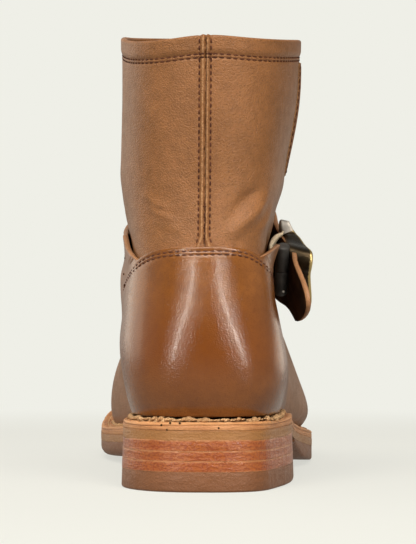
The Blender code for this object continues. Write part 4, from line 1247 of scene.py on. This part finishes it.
# %% Welt ring
rows, worn = [], []
for number, (inset, share, rim_mark) in enumerate(WELT_PROFILE):
    waver = hand_trim(loop, WELT_TRIM, 4.2 + 0.4 * number * (share < 1.0)) * (inset < 6.0)
    place = loop + inward * (inset + waver)[:, None]
    fuzz = (share > 0.9) * WELT_FUZZ * (np.sin(47 * turn + number) + np.sin(91 * turn + 2.1 * number))
    split = WELT_SPLIT * np.sin(7 * turn + 0.8) * (0.4 < share < 0.9)
    y = np.clip(place[:, 1], 0.0, SOLE_LENGTH)
    tall = WELT + WELT_EXTRA - settle(y, HEEL_SETTLE + WELT_DROP - WELT_SETTLE)
    z = welt_low(y) + tall * share + fuzz + split + fore_lift(place[:, 0], y)
    rows.append(np.column_stack([place, z]))
    worn.append(np.full(len(loop), rim_mark))
welt_grid = np.stack(rows, axis=1)
index = np.arange(welt_grid.shape[0] * welt_grid.shape[1]).reshape(welt_grid.shape[:2])
ahead = np.roll(index, -1, axis=0)
welt_faces = np.stack([index, ahead, np.roll(ahead, -1, axis=1), np.roll(index, -1, axis=1)], axis=-1)
add_piece("welt_skin", welt_grid, welt_faces.reshape(-1, 4), (welt_leather,), ("welt",), "welt_leather",
          rim=np.stack(worn, axis=1))

# %% [markdown]
# ## Thread
# Every row of sewing is real thread here: short stitches that bulge in the middle and dive into the
# leather at both ends. A dashed texture would lie flat and lose its shadow. One small stitch is shaped
# once, and each row copies it along its path, turned to the path and to the leather under it, all in
# one mesh.

# %% One stitch, copied to many places
STITCH_SHAPE = ((-1.0, 0.30), (-0.86, 0.75), (-0.45, 1.0), (0.0, 1.05), (0.45, 1.0), (0.86, 0.75),
                (1.0, 0.30))
STITCH_SIDES, STITCH_FLAT = 6, 0.8


def copy_stitch(name, centre, along, out, length, girths, thread, dive, slot):
    """The same stitch at each centre, laid along one direction and standing on another."""
    side = np.cross(out, along)
    points, faces = [], []
    around = np.linspace(0.0, 2 * np.pi, STITCH_SIDES, endpoint=False)
    for share, girth in STITCH_SHAPE:
        for angle in around:
            lift = girths * (STITCH_FLAT * girth * math.sin(angle) - dive * share * share)
            wide = girths * girth * math.cos(angle)
            points.append(centre + along * (share * length / 2) + side * wide + out * lift)
    points = np.stack(points, axis=1)
    rings = np.arange(len(STITCH_SHAPE) * STITCH_SIDES).reshape(-1, STITCH_SIDES)
    beside = np.roll(rings, -1, axis=1)
    single = np.stack([rings[:-1], beside[:-1], beside[1:], rings[1:]], axis=-1).reshape(-1, 4).tolist()
    single += [rings[0, ::-1].tolist(), rings[-1].tolist()]
    for start in range(0, len(centre) * rings.size, rings.size):
        faces += [[start + k for k in face] for face in single]
    add_piece(name, points, faces, (thread,), slot=slot)


# %% A row of stitches along a line
LOOK_AHEAD = 0.3


def between(at, run, line):
    return np.stack([np.interp(at, run, line[:, i]) for i in range(3)], axis=1)


def sew(name, line, outward, pitch, length, radius, thread, lean=0.0, dive=0.5, slot="counter_leather",
        uneven=0.0):
    """Stitches along a line of points with outward directions."""
    run = np.concatenate([[0.0], np.cumsum(np.linalg.norm(np.diff(line, axis=0), axis=1))])
    at = np.arange(pitch / 2, run[-1], pitch)
    wild = uneven * np.sin(np.outer((1.0, 2.3, 3.7), 12.9898 * np.arange(len(at)) ** 1.3))
    at = at + 0.5 * pitch * wild[0]
    girths = (radius * (1 + wild[1]))[:, None]
    ahead = between(at + LOOK_AHEAD, run, line) - between(at - LOOK_AHEAD, run, line)
    ahead /= np.linalg.norm(ahead, axis=1)[:, None]
    side = np.cross(between(at, run, outward), ahead)
    side /= np.linalg.norm(side, axis=1)[:, None]
    out = np.cross(ahead, side)
    turned = ahead * math.cos(lean) + side * math.sin(lean)
    lifts = girths * wild[2][:, None]
    copy_stitch(name, between(at, run, line) + out * lifts, turned, out, length, girths, thread, dive, slot)


print("stitch:", len(STITCH_SHAPE) * STITCH_SIDES, "points each")

# %% [markdown]
# ## Sewing on the shaft
# Two rows hold the hem and one row runs down each side of the back seam, with a coarser ladder of
# thread across its foot. A row that only followed an angle or a ring would drift off the leather's own
# lines, so each place is found by its distance: below the collar for the hem, and beside the seam's
# middle for the rest.

# %% Hem rows
ROW_STAND, LADDER_STAND = 0.12, 0.4
ring_probe = np.linspace(9.8, TOP_RING, 90)
around = np.arange(0.0, 361.0, 1.5)
probe = last_point(around[:, None], ring_probe[None, :])
below_top = np.linalg.norm(probe - probe[:, -1:], axis=-1)


def shaft_line(angle, ring, stand):
    """A line on the shaft's finished skin, and its outward directions."""
    point, normal, up = last_frame(angle, ring)
    return point + normal * (shaft_height(angle, ring) + stand)[:, None], normal


for number, row in enumerate(HEM_ROWS):
    ring_at = np.array([np.interp(-row, -below, ring_probe) for below in below_top])
    sew(f"hem_stitches_{number + 1}", *shaft_line(around, ring_at, ROW_STAND), 2.6, 1.9, 0.34, dark_thread,
        slot="shaft_leather")

# %% Back seam rows and the ladder at their foot
small_angle = np.linspace(-8.0, 8.0, 81)


def beside_seam(ring, wanted):
    """The angle at which each ring lies a wanted distance from the seam's middle."""
    probe = last_point(small_angle[None, :], ring[:, None])
    return np.array([np.interp(at, row[:, 0] - seam_lean(row), small_angle)
                     for at, row in zip(wanted, probe)])


seam_ring, ladder_ring = np.linspace(6.42, 10.97, 160), np.linspace(6.4, 7.7, 40)
for number, side in enumerate((-1.0, 1.0)):
    angle_at = beside_seam(seam_ring, side * (SEAM_ROW + seam_spread(seam_ring)))
    sew(f"back_seam_stitches_{number + 1}", *shaft_line(angle_at, seam_ring, ROW_STAND), 2.35, 1.7, 0.36,
        dark_thread, slot="shaft_leather")
angle_at = beside_seam(ladder_ring, np.full(len(ladder_ring), 0.2))
line, normal = shaft_line(angle_at, ladder_ring, LADDER_STAND)
sew("back_seam_ladder", line, normal, 4.2, 1.7, 0.26, dark_thread, lean=math.pi / 2, slot="shaft_leather")
sew("back_seam_middle", line, normal, 2.1, 1.3, 0.24, dark_thread, slot="shaft_leather")

# %% [markdown]
# ## Sewing on the overlays
# The counter is held to the shaft by two rows along its top edge, the side panel by one along its rear
# edge. Their paths are the pattern's own edges moved inwards, so they keep their distance round every
# curve.


# %% Counter rows and panel row
def sew_on_piece(name, way, thickness, lift, relief, **stitch):
    angle, ring = even_path(way, 0.6).T
    point, normal, up = last_frame(angle, ring)
    line = point + normal * (lift(angle, ring) + thickness(angle, ring) + relief + ROW_STAND)[:, None]
    sew(name, line, normal, 2.6, 1.8, 0.34, dark_thread, **stitch)


for number, row in enumerate(STITCH_ROWS):
    way = shift_path(even_path(seam_way, 2.0), row)
    sew_on_piece(f"counter_stitches_{number + 1}", way, strap_thickness, strap_lift, -0.25)
way = shift_path(even_path(panel_rear, 2.0), -PANEL_ROW)
sew_on_piece("panel_stitches", way, panel_thickness, panel_lift, 0.0, slot="shaft_leather")

# %% [markdown]
# ## Rope and welt stitches
# Thick linen thread lies in the corner between the upper and the welt like a rope, in overlapping
# slanted strands that are never quite even, and a second row runs nearer the welt's edge. Both are the
# same stitch, larger, and the rope's is leaned, crowded and varied in girth.

# %% Rope along the upper's foot, and the welt's outer row
ROPE_RISE, ROPE_SETTLE, ROW_INSET, ROW_RISE = 0.5, 0.25, 3.4, 0.1
foot_angle = np.arange(0.0, 361.0, 1.0)
from_back = np.abs(np.mod(foot_angle + 180.0, 360.0) - 180.0)
stand = 0.9 + 1.5 * smooth_step((COUNTER_SIDE + 6.0 - from_back) / 12.0)
point, normal, up = last_frame(foot_angle, 0.06)
level = normal * [1.0, 1.0, 0.0]
level /= np.linalg.norm(level, axis=1)[:, None]
rope_line = point + level * stand[:, None]
row_line = np.column_stack([loop + inward * ROW_INSET, 0 * turn])


def lay_on_welt(line, rise, drop):
    """The line at its height above the welt, and its upward directions."""
    y = np.clip(line[:, 1], 0.0, SOLE_LENGTH)
    line[:, 2] = welt_top(y) + rise - settle(y, drop) + fore_lift(line[:, 0], y)
    return line, np.tile([0.0, 0.0, 1.0], (len(line), 1))


rope = lay_on_welt(rope_line, ROPE_RISE, HEEL_SETTLE - ROPE_SETTLE)
sew("welt_rope", *rope, 1.5, 3.0, 0.8, pale_thread, 0.7, 0.5, "welt_leather", 0.4)
row_line = np.vstack([row_line, row_line[:1]])
row = lay_on_welt(row_line, ROW_RISE, HEEL_SETTLE + WELT_DROP)
sew("welt_stitches", *row, 3.4, 2.8, 0.42, pale_thread, dive=0.4, slot="welt_leather")

# %% [markdown]
# ## Holes
# Three pinholes are left in the medial wing and a few awl holes in the welt. Cutting them out would
# need a much finer mesh around each; at this size a dark bead sunk into the leather reads as a hole, its
# dark colour painted shade for the hole's inside, so the stitch is copied once more.

# %% Pinholes in the wing
PINHOLES = ((-59.5, 6.24), (-59.0, 5.68), (-50.0, 5.24))
PIN_GIRTH, HOLE_DIVE = 0.5, 0.3
pin_angle, pin_ring = np.array(PINHOLES).T
point, normal, up = last_frame(pin_angle, pin_ring)
pin_place = point + normal * (strap_lift(pin_angle, pin_ring) + strap_thickness(pin_angle, pin_ring))[:, None]
ahead = np.cross(normal, np.cross(up, normal))
ahead /= np.linalg.norm(ahead, axis=1)[:, None]
# painted shade: dark beads stand in for the shade inside the pinholes
copy_stitch("wing_pinholes", pin_place, ahead, normal, 2 * PIN_GIRTH, PIN_GIRTH, suede_back_and_hole_shade, HOLE_DIVE,
            "counter_leather")

# %% Awl holes in the welt
AWL_COLUMNS = ("x", "height share")
AWL_HOLES = ((-15.9, 0.67), (-14.1, 0.12), (4.3, 0.35), (-12.9, 0.97), (-8.6, 0.97))
AWL_GIRTH, AWL_SINK, AWL_REACH = 0.42, 0.1, 30.0
awl_x, awl_share = np.array(AWL_HOLES).T
at_back = loop[:, 1] < AWL_REACH
nearest = np.abs(loop[at_back][:, :1] - awl_x).argmin(axis=0)
awl_edge = loop[at_back][nearest]
welt_tall = WELT + WELT_EXTRA - HEEL_SETTLE - WELT_DROP + WELT_SETTLE
awl_height = welt_low(awl_edge[:, 1]) + welt_tall * awl_share
awl_out = np.column_stack([-inward[at_back][nearest], 0 * awl_x])
awl_place = np.column_stack([awl_edge, awl_height]) - AWL_SINK * awl_out
upright = np.tile([0.0, 0.0, 1.0], (len(awl_x), 1))
# painted shade: dark beads stand in for the shade inside the awl holes
copy_stitch("awl_holes", awl_place, upright, awl_out, 2 * AWL_GIRTH, AWL_GIRTH, suede_back_and_hole_shade, HOLE_DIVE,
            "welt_leather")
print("holes:", len(PINHOLES), "in the wing and", len(AWL_HOLES), "in the welt, by", AWL_COLUMNS)

# %% [markdown]
# ## Metal bars
# The strap closes with a bowed frame of dark antique brass, rubbed to gold along its rims, over a
# blackened roller in the end of the heel's tab. A bevelled curve would make round wire; cast frames are
# flat bars with soft corners. So one function sweeps a rounded section along a path, squarer or rounder
# as asked, and all the metal uses it.


# %% Sweeping a rounded section along a path
def sweep(name, path, out, wide, high, finishes, corner=1.0, low=None, closed=False, sides=20, rim=None,
          spot=None, **piece):
    """A bar along a path: wide and high are half sizes, corner 1 is an ellipse and less is squarer."""
    path, out = np.asarray(path, float), np.asarray(out, float) + np.zeros_like(path)
    along = np.roll(path, -1, axis=0) - np.roll(path, 1, axis=0) if closed else np.gradient(path, axis=0)
    along /= np.linalg.norm(along, axis=1)[:, None]
    side = np.cross(out, along)
    side /= np.linalg.norm(side, axis=1)[:, None]
    out = np.cross(along, side)
    turn = np.linspace(0.0, 2 * np.pi, sides, endpoint=False)
    across, rise = (np.sign(part) * np.abs(part) ** corner for part in (np.cos(turn), np.sin(turn)))
    wide, high = (np.asarray(size, float) + np.zeros(len(path)) for size in (wide, high))
    below = high if low is None else low
    up = np.where(rise[:, None] > 0, rise[:, None] * high, rise[:, None] * below)
    grid = path + (across[:, None] * wide)[..., None] * side + up[..., None] * out
    index = np.arange(sides * len(path)).reshape(sides, len(path))
    if closed:
        index = np.hstack([index, index[:, :1]])
    after = np.roll(index, -1, axis=0)
    faces = np.stack([index[:, :-1], after[:, :-1], after[:, 1:], index[:, 1:]], axis=-1)
    faces = faces.reshape(-1, 4).tolist()
    if not closed:
        faces += [index[::-1, 0].tolist(), index[:, -1].tolist()]
    rubbed = np.zeros(grid.shape[:2])
    if rim is not None:
        rubbed += rim(rise)[:, None]
    plated = None if spot is None else np.tile(spot, sides)
    add_piece(name, grid, faces, finishes, face_finish=plated, rim=rubbed, **piece)


def off_strap(angle, across, off):
    """Places off the strap's inner face, on it or beside it."""
    low, high = strap_edge("low_lift", angle), strap_edge("high_lift", angle)
    return last_point(angle, strap_ring(angle, across), low + (high - low) * across + off)


# %% [markdown]
# ## Buckle frame and prong
# The frame bows over the strap, reaches past its edges and stands off more at its rear, where the tip
# comes out. Its path is a rounded rectangle on the strap itself, so it follows the ankle; a table
# widens it at each end. The prong lies over the strap from the centre bar and climbs onto the frame's
# front bar.

# %% Path of the buckle frame
BUCKLE_FRONT, BUCKLE_REAR, BUCKLE_STEPS, BUCKLE_ROUND = -267.0, -292.0, 180, 0.5
BUCKLE_COLUMNS = ("rearward", "high_overhang", "low_overhang")
BUCKLE_SHAPE = ((0, 0.38, 0.05), (0.08, 0.2, 0.04), (0.16, 0.075, 0.04), (0.3, 0.02, 0.03), (0.5, 0.0, 0),
                (0.75, 0.015, -0.08), (1, 0.05, -0.14))
BUCKLE_LIFT, HIGH_TILT, LOW_TILT = 1.2, 2.9, 1.0
BAND_WIDTH, BAND_THICK, FRONT_DIP = 3.0, 3.4, 3.4
turn = np.linspace(0.0, 2 * np.pi, BUCKLE_STEPS, endpoint=False)
lengthwise, crosswise = (np.sign(part) * np.abs(part) ** BUCKLE_ROUND
                         for part in (np.cos(turn), np.sin(turn)))
rearward = (1 - lengthwise) / 2
frame_angle = BUCKLE_FRONT + (BUCKLE_REAR - BUCKLE_FRONT) * rearward
high, low = (spline(BUCKLE_SHAPE, BUCKLE_COLUMNS, name, rearward) for name in BUCKLE_COLUMNS[1:])
across = 0.5 + (0.5 + np.where(crosswise > 0, high, low)) * crosswise
tilt = LOW_TILT + (HIGH_TILT - LOW_TILT) * (1 + crosswise) / 2
off = STRAP_THICK + BUCKLE_LIFT + BAND_THICK / 2 + tilt * rearward
off -= FRONT_DIP * bell(rearward, 0.2) * smooth_step((across - 0.85) / 0.3)
frame_path = off_strap(frame_angle, across, off)
outward = off_strap(frame_angle, across, off + 1.0) - frame_path
print("buckle frame round:", np.linalg.norm(np.diff(frame_path, axis=0), axis=1).sum().round(1), "mm")

# %% Buckle frame
SIDE_BAR_ANGLE, SIDE_BAR_REACH, SIDE_BAR_DEPTH, SIDE_BAR_END = -286.0, 12.0, 6.5, 0.3
BAND_CORNER, BAND_SIDES, GREY_END_REACH = 0.45, 28, 0.16


def rubbed_rim(rise):
    return smooth_step((rise - 0.1) / 0.6)


on_side = smooth_step((crosswise - SIDE_BAR_END) / (1 - SIDE_BAR_END))
side_bar = bell(frame_angle - SIDE_BAR_ANGLE, SIDE_BAR_REACH) * on_side
# the bar end takes the pale grey painted reflection
bar_end = ((rearward < GREY_END_REACH) & (crosswise > SIDE_BAR_END)).astype(int)
sweep("buckle_frame_skin", frame_path, outward, BAND_WIDTH / 2, BAND_THICK / 2, (antique_brass, grey_reflection_metal),
      BAND_CORNER, BAND_THICK / 2 + SIDE_BAR_DEPTH * side_bar, True, BAND_SIDES, rubbed_rim, bar_end,
      replaces=("buckle_frame",), slot="antique_brass")

# %% Prong
PRONG_ROOT, PRONG_TIP, PRONG_RADIUS = -288.0, -265.0, 0.9
share = np.linspace(0.0, 1.0, 40)
prong_angle = PRONG_ROOT + (PRONG_TIP - PRONG_ROOT) * share
climb = (BUCKLE_LIFT + BAND_THICK + GAP) * smooth_step(share / 0.8)
prong_path = off_strap(prong_angle, 0.5, STRAP_THICK + GAP + PRONG_RADIUS + climb)
prong_out = off_strap(prong_angle, 0.5, 9.0) - off_strap(prong_angle, 0.5, 0.0)
taper = PRONG_RADIUS * (1 - 0.35 * smooth_step((share - 0.8) / 0.2))
sweep("buckle_prong_skin", prong_path, prong_out, taper * 1.1, taper, (antique_brass,),
      replaces=("buckle_prong",), slot="antique_brass")

# %% [markdown]
# ## Roller
# The bar that the tab holds carries two blackened sleeves that turn on one pin. A lathe profile swept
# along the bar gives the seam between the sleeves and their soft ends, and a small dome is the pin's
# end, coloured near white as a painted highlight.

# %% Roller: two sleeves on one pin
ROLLER_ANGLE, ROLLER_RADIUS, ROLLER_SIDES = 69.0, 2.6, 32
ROLLER_ENDS = ((5.0, 2.95), (6.8, 4.15))
ROLLER_PROFILE = ((0, 0.35), (0.004, 0.8), (0.012, 0.94), (0.03, 1), (0.47, 1), (0.486, 0.96), (0.494, 0.86),
                  (0.506, 0.86), (0.514, 0.96), (0.53, 1), (0.97, 1), (0.988, 0.94), (0.996, 0.8), (1, 0.35))
foot, head = (last_point(np.array([ROLLER_ANGLE]), np.array([ring]), lift + ROLLER_RADIUS)[0]
              for ring, lift in ROLLER_ENDS)
bar_share, bar_girth = np.array(ROLLER_PROFILE).T
roller_path = foot + (head - foot) * bar_share[:, None]
girth = ROLLER_RADIUS * bar_girth
sweep("buckle_roller_skin", roller_path, (0.0, 1.0, 0.0), girth, girth, (dark_steel,), sides=ROLLER_SIDES,
      replaces=("buckle_roller",), slot="dark_steel")
# the pin's end is a near-white dome: a painted highlight
PIN_OFFSET, PIN_RADIUS, PIN_SIDES = (1.2, -3.6, 0.7), 0.55, 14
dome = np.linspace(-1.0, 1.0, 9) * 0.98
pin_path = foot + PIN_OFFSET + np.outer(dome, (0.0, PIN_RADIUS, 0.0))
girth = PIN_RADIUS * np.sqrt(1 - dome ** 2)
sweep("roller_pin", pin_path, (0.0, 0.0, 1.0), girth, girth, (pin_painted_highlight,), sides=PIN_SIDES,
      slot="dark_steel")

# %% [markdown]
# ## Pale loop
# A narrow strip of undyed leather curls between the tab and the roller. Only its curled edge shows, so
# it is one flat bar swept along a short listed path that thins out at both ends.

# %% Pale loop between the tab and the roller
LOOP_COLUMNS = ("x", "y", "z", "half thickness")
LOOP = ((27.4, 73.4, 96.4, 0.3), (26.8, 72.7, 95.9, 0.8), (25.9, 72.0, 95.0, 1.2), (24.6, 71.0, 92.2, 1.1),
        (24.8, 70.0, 89.6, 0.7))
LOOP_DEPTH, LOOP_CORNER, LOOP_STEPS = 4.5, 0.6, 40
loop_line = path_points(LOOP, LOOP_STEPS)
sweep("tab_loop", loop_line[:, :3], (0.0, 1.0, 0.0), loop_line[:, 3], LOOP_DEPTH, (pale_hide,), LOOP_CORNER,
      slot="counter_leather")
print("loop:", len(LOOP), "places of", LOOP_COLUMNS)

# %% [markdown]
# ## Insole sock
# Inside, a pale sock of lining hide covers the insole board. It is seen only from above, through the
# collar, and must not poke through the wall, so it is a slightly dished slab between two edges that
# keep clear of the lining.

# %% Insole sock
SOCK_STEPS, SOCK_CLEAR, SOCK_THICK, SOCK_DISH = 80, 0.5, 2.4, 0.5
SOCK_PROFILE = ((0, 0), (1, 0), (1, 0.8), (0.985, 0.97), (0.95, 1), (0.8, 1), (0.65, 1), (0.5, 1), (0.35, 1),
                (0.2, 1), (0.05, 1), (0.015, 0.97), (0, 0.8))
half_turn = np.linspace(0.5, 179.5, SOCK_STEPS)
left_edge, right_edge = (last_point(side * half_turn, 0 * half_turn, -WALL - SOCK_CLEAR)
                         for side in (-1.0, 1.0))
sock = []
for share, rise in SOCK_PROFILE:
    place = left_edge + (right_edge - left_edge) * share
    dish = SOCK_DISH * (1 - (2 * share - 1) ** 2) * (rise == 1)
    place[:, 2] = welt_top(np.clip(place[:, 1], 0.0, SOLE_LENGTH)) + GAP + SOCK_THICK * rise - dish
    sock.append(place)
sock = np.stack(sock)
sock_faces = grid_faces(*sock.shape[:2], closed=True)[:, ::-1].tolist()
ends = np.arange(sock.shape[0]) * SOCK_STEPS
sock_faces += [ends.tolist(), (ends[::-1] + SOCK_STEPS - 1).tolist()]
add_piece("insole_sock", sock, sock_faces, (lining_hide,), ("insole",), "lining")

# %% [markdown]
# ## Camera
# The photograph was taken level and low, straight behind the heel, from a little over half a metre.
# Turning the camera up would make the shaft lean, so it stays level and the frame is shifted, as with a
# shift lens.

# %% Camera, level and straight behind the heel
EYE_HEIGHT, EYE_DISTANCE, EYE_TURN = 53.4, 620.0, math.radians(1.5)
FOCAL_PIXELS, FRAME_HEIGHT, SHIFT_PIXELS = 1727.0, 544.0, (3, 72)
camera = bpy.data.cameras.new("camera")
camera.sensor_fit = "AUTO"
camera.lens = FOCAL_PIXELS / FRAME_HEIGHT * camera.sensor_width
camera.shift_x, camera.shift_y = (pixels / FRAME_HEIGHT for pixels in SHIFT_PIXELS)
viewer = bpy.data.objects.new("camera", camera)
bpy.context.scene.collection.objects.link(viewer)
eye = np.array([math.sin(EYE_TURN) * EYE_DISTANCE, -math.cos(EYE_TURN) * EYE_DISTANCE, EYE_HEIGHT])
viewer.location = Vector((eye + SHIFT) * MM)
viewer.rotation_euler = (math.radians(90.0), 0.0, EYE_TURN)
bpy.context.scene.camera = viewer
print("camera lens", round(camera.lens, 1), "mm")

# %% [markdown]
# ## Floor and sweep
# The boot stands in a pale paper sweep. Lighting real paper evenly would also flood the boot, so floor
# and world glow in one pale tone for the camera alone, which hides the horizon, and send much less
# light to the boot, so that its folds keep their shadows. Near the boot the floor is paper enough to
# catch a soft shadow.

# %% Floor
PALE = (0.863, 0.863, 0.799)
PAPER_DARK, PAPER_LIGHT, PAPER_PATCH = (0.165, 0.165, 0.156), (0.169, 0.169, 0.16), 300.0
FLOOR_BOUNCE, FLOOR_GLOW, FLOOR_HALF = 0.32, 0.72, 6.0
SHADOW_NEAR, SHADOW_FAR = 0.25, 0.7


def toned(share):
    return tuple(share * value for value in PALE)


floor_finish, tree, shader, place = new_finish("pale floor", Roughness=1.0, Specular_IOR_Level=0.0,
                                               Emission_Strength=1.0)
speck = use(tree, tone_group, Vector=place, Patch=PAPER_PATCH)
paper = mix(tree, speck["Drift"], PAPER_DARK, PAPER_LIGHT)
reach = put(tree, "ShaderNodeVectorMath", {0: place}, operation="LENGTH").outputs["Value"]
far = span(tree, reach, SHADOW_NEAR, SHADOW_FAR)
tree.links.new(mix(tree, far, paper, (0.0, 0.0, 0.0)), shader["Base Color"])
seen = put(tree, "ShaderNodeLightPath").outputs["Is Camera Ray"]
glow = mix(tree, far, toned(FLOOR_GLOW), PALE)
tree.links.new(mix(tree, seen, toned(FLOOR_BOUNCE), glow), shader["Emission Color"])
floor_mesh = bpy.data.meshes.new("floor")
floor_corners = [(x * FLOOR_HALF, y * FLOOR_HALF, 0.0) for x, y in ((-1, -1), (1, -1), (1, 1), (-1, 1))]
floor_mesh.from_pydata(floor_corners, [], [(0, 1, 2, 3)])
floor_mesh.materials.append(floor_finish)
floor = bpy.data.objects.new("floor", floor_mesh)
bpy.context.scene.collection.objects.link(floor)
print("floor", 2 * FLOOR_HALF, "m wide")

# %% World: a bright sweep ahead and to the left, a dark room behind the camera
DARK_ROOM, BRIGHT_SWEEP, SWEEP_LEAN, SWEEP_START, SWEEP_END = 0.045, 0.6, 1.0, -0.2, 0.9
world = bpy.data.worlds.new("studio")
world.use_nodes = True
tree = world.node_tree
seen = put(tree, "ShaderNodeLightPath").outputs["Is Camera Ray"]
direction = put(tree, "ShaderNodeTexCoord").outputs["Generated"]
aim = put(tree, "ShaderNodeSeparateXYZ", {"Vector": direction}).outputs
way = calc(tree, "SUBTRACT", aim["Y"], times(tree, aim["X"], SWEEP_LEAN))
room = mix(tree, span(tree, way, SWEEP_START, SWEEP_END), toned(DARK_ROOM), toned(BRIGHT_SWEEP))
tree.links.new(mix(tree, seen, room, PALE), tree.nodes["Background"].inputs["Color"])
bpy.context.scene.world = world
bpy.context.scene.view_settings.view_transform = "Standard"
print("world:", world.name)

# %% [markdown]
# ## Lights
# Two tall narrow strips beside the camera draw the long streaks on the burnished counter, one leaning
# each way. Broad tan panels left and right grey the silhouettes, and a panel above lights the welt and
# the toe. Lamps would give hard spots; area lights have a shape that the gloss can show.

# %% Soft panels round the boot
WARM_WHITE, TAN_WHITE = (1.0, 0.95, 0.86), (1.0, 0.86, 0.70)
LIGHT_AIM = (0.0, 0.05, 0.09)
PANEL_LIGHT_COLUMNS = ("name", "azimuth", "height", "distance", "width", "tall", "power", "lean", "colour")
PANEL_LIGHTS = (
    ("left_strip", -25.0, 0.30, 1.0, 0.032, 0.75, 3.8, -30.0, WARM_WHITE),
    ("right_strip", 30.0, 0.28, 1.0, 0.024, 0.85, 4.6, 42.0, WARM_WHITE),
    ("left_wall", -120.0, 0.42, 1.2, 1.3, 0.8, 4.2, 0.0, TAN_WHITE),
    ("right_wall", 134.0, 0.09, 1.2, 0.9, 0.26, 1.0, 0.0, TAN_WHITE),
    ("right_fill", 84.0, 0.5, 1.3, 1.5, 1.2, 2.0, 0.0, TAN_WHITE),
    ("ceiling", 0.0, 1.35, 0.8, 1.3, 0.9, 28.0, 0.0, WARM_WHITE),
)
for name, azimuth, height, distance, width, tall, power, lean, colour in PANEL_LIGHTS:
    data = bpy.data.lights.new(name, "AREA")
    data.shape = "RECTANGLE"
    data.size, data.size_y, data.energy, data.color = width, tall, power, colour
    panel = bpy.data.objects.new(name, data)
    bpy.context.scene.collection.objects.link(panel)
    turn = math.radians(azimuth)
    panel.location = (math.sin(turn) * distance, -math.cos(turn) * distance, height)
    facing = (Vector(LIGHT_AIM) - panel.location).to_track_quat("-Z", "Y")
    panel.rotation_euler = (facing @ Quaternion((0.0, 0.0, 1.0), math.radians(lean))).to_euler()
print("panels:", len(PANEL_LIGHTS), "by", PANEL_LIGHT_COLUMNS)
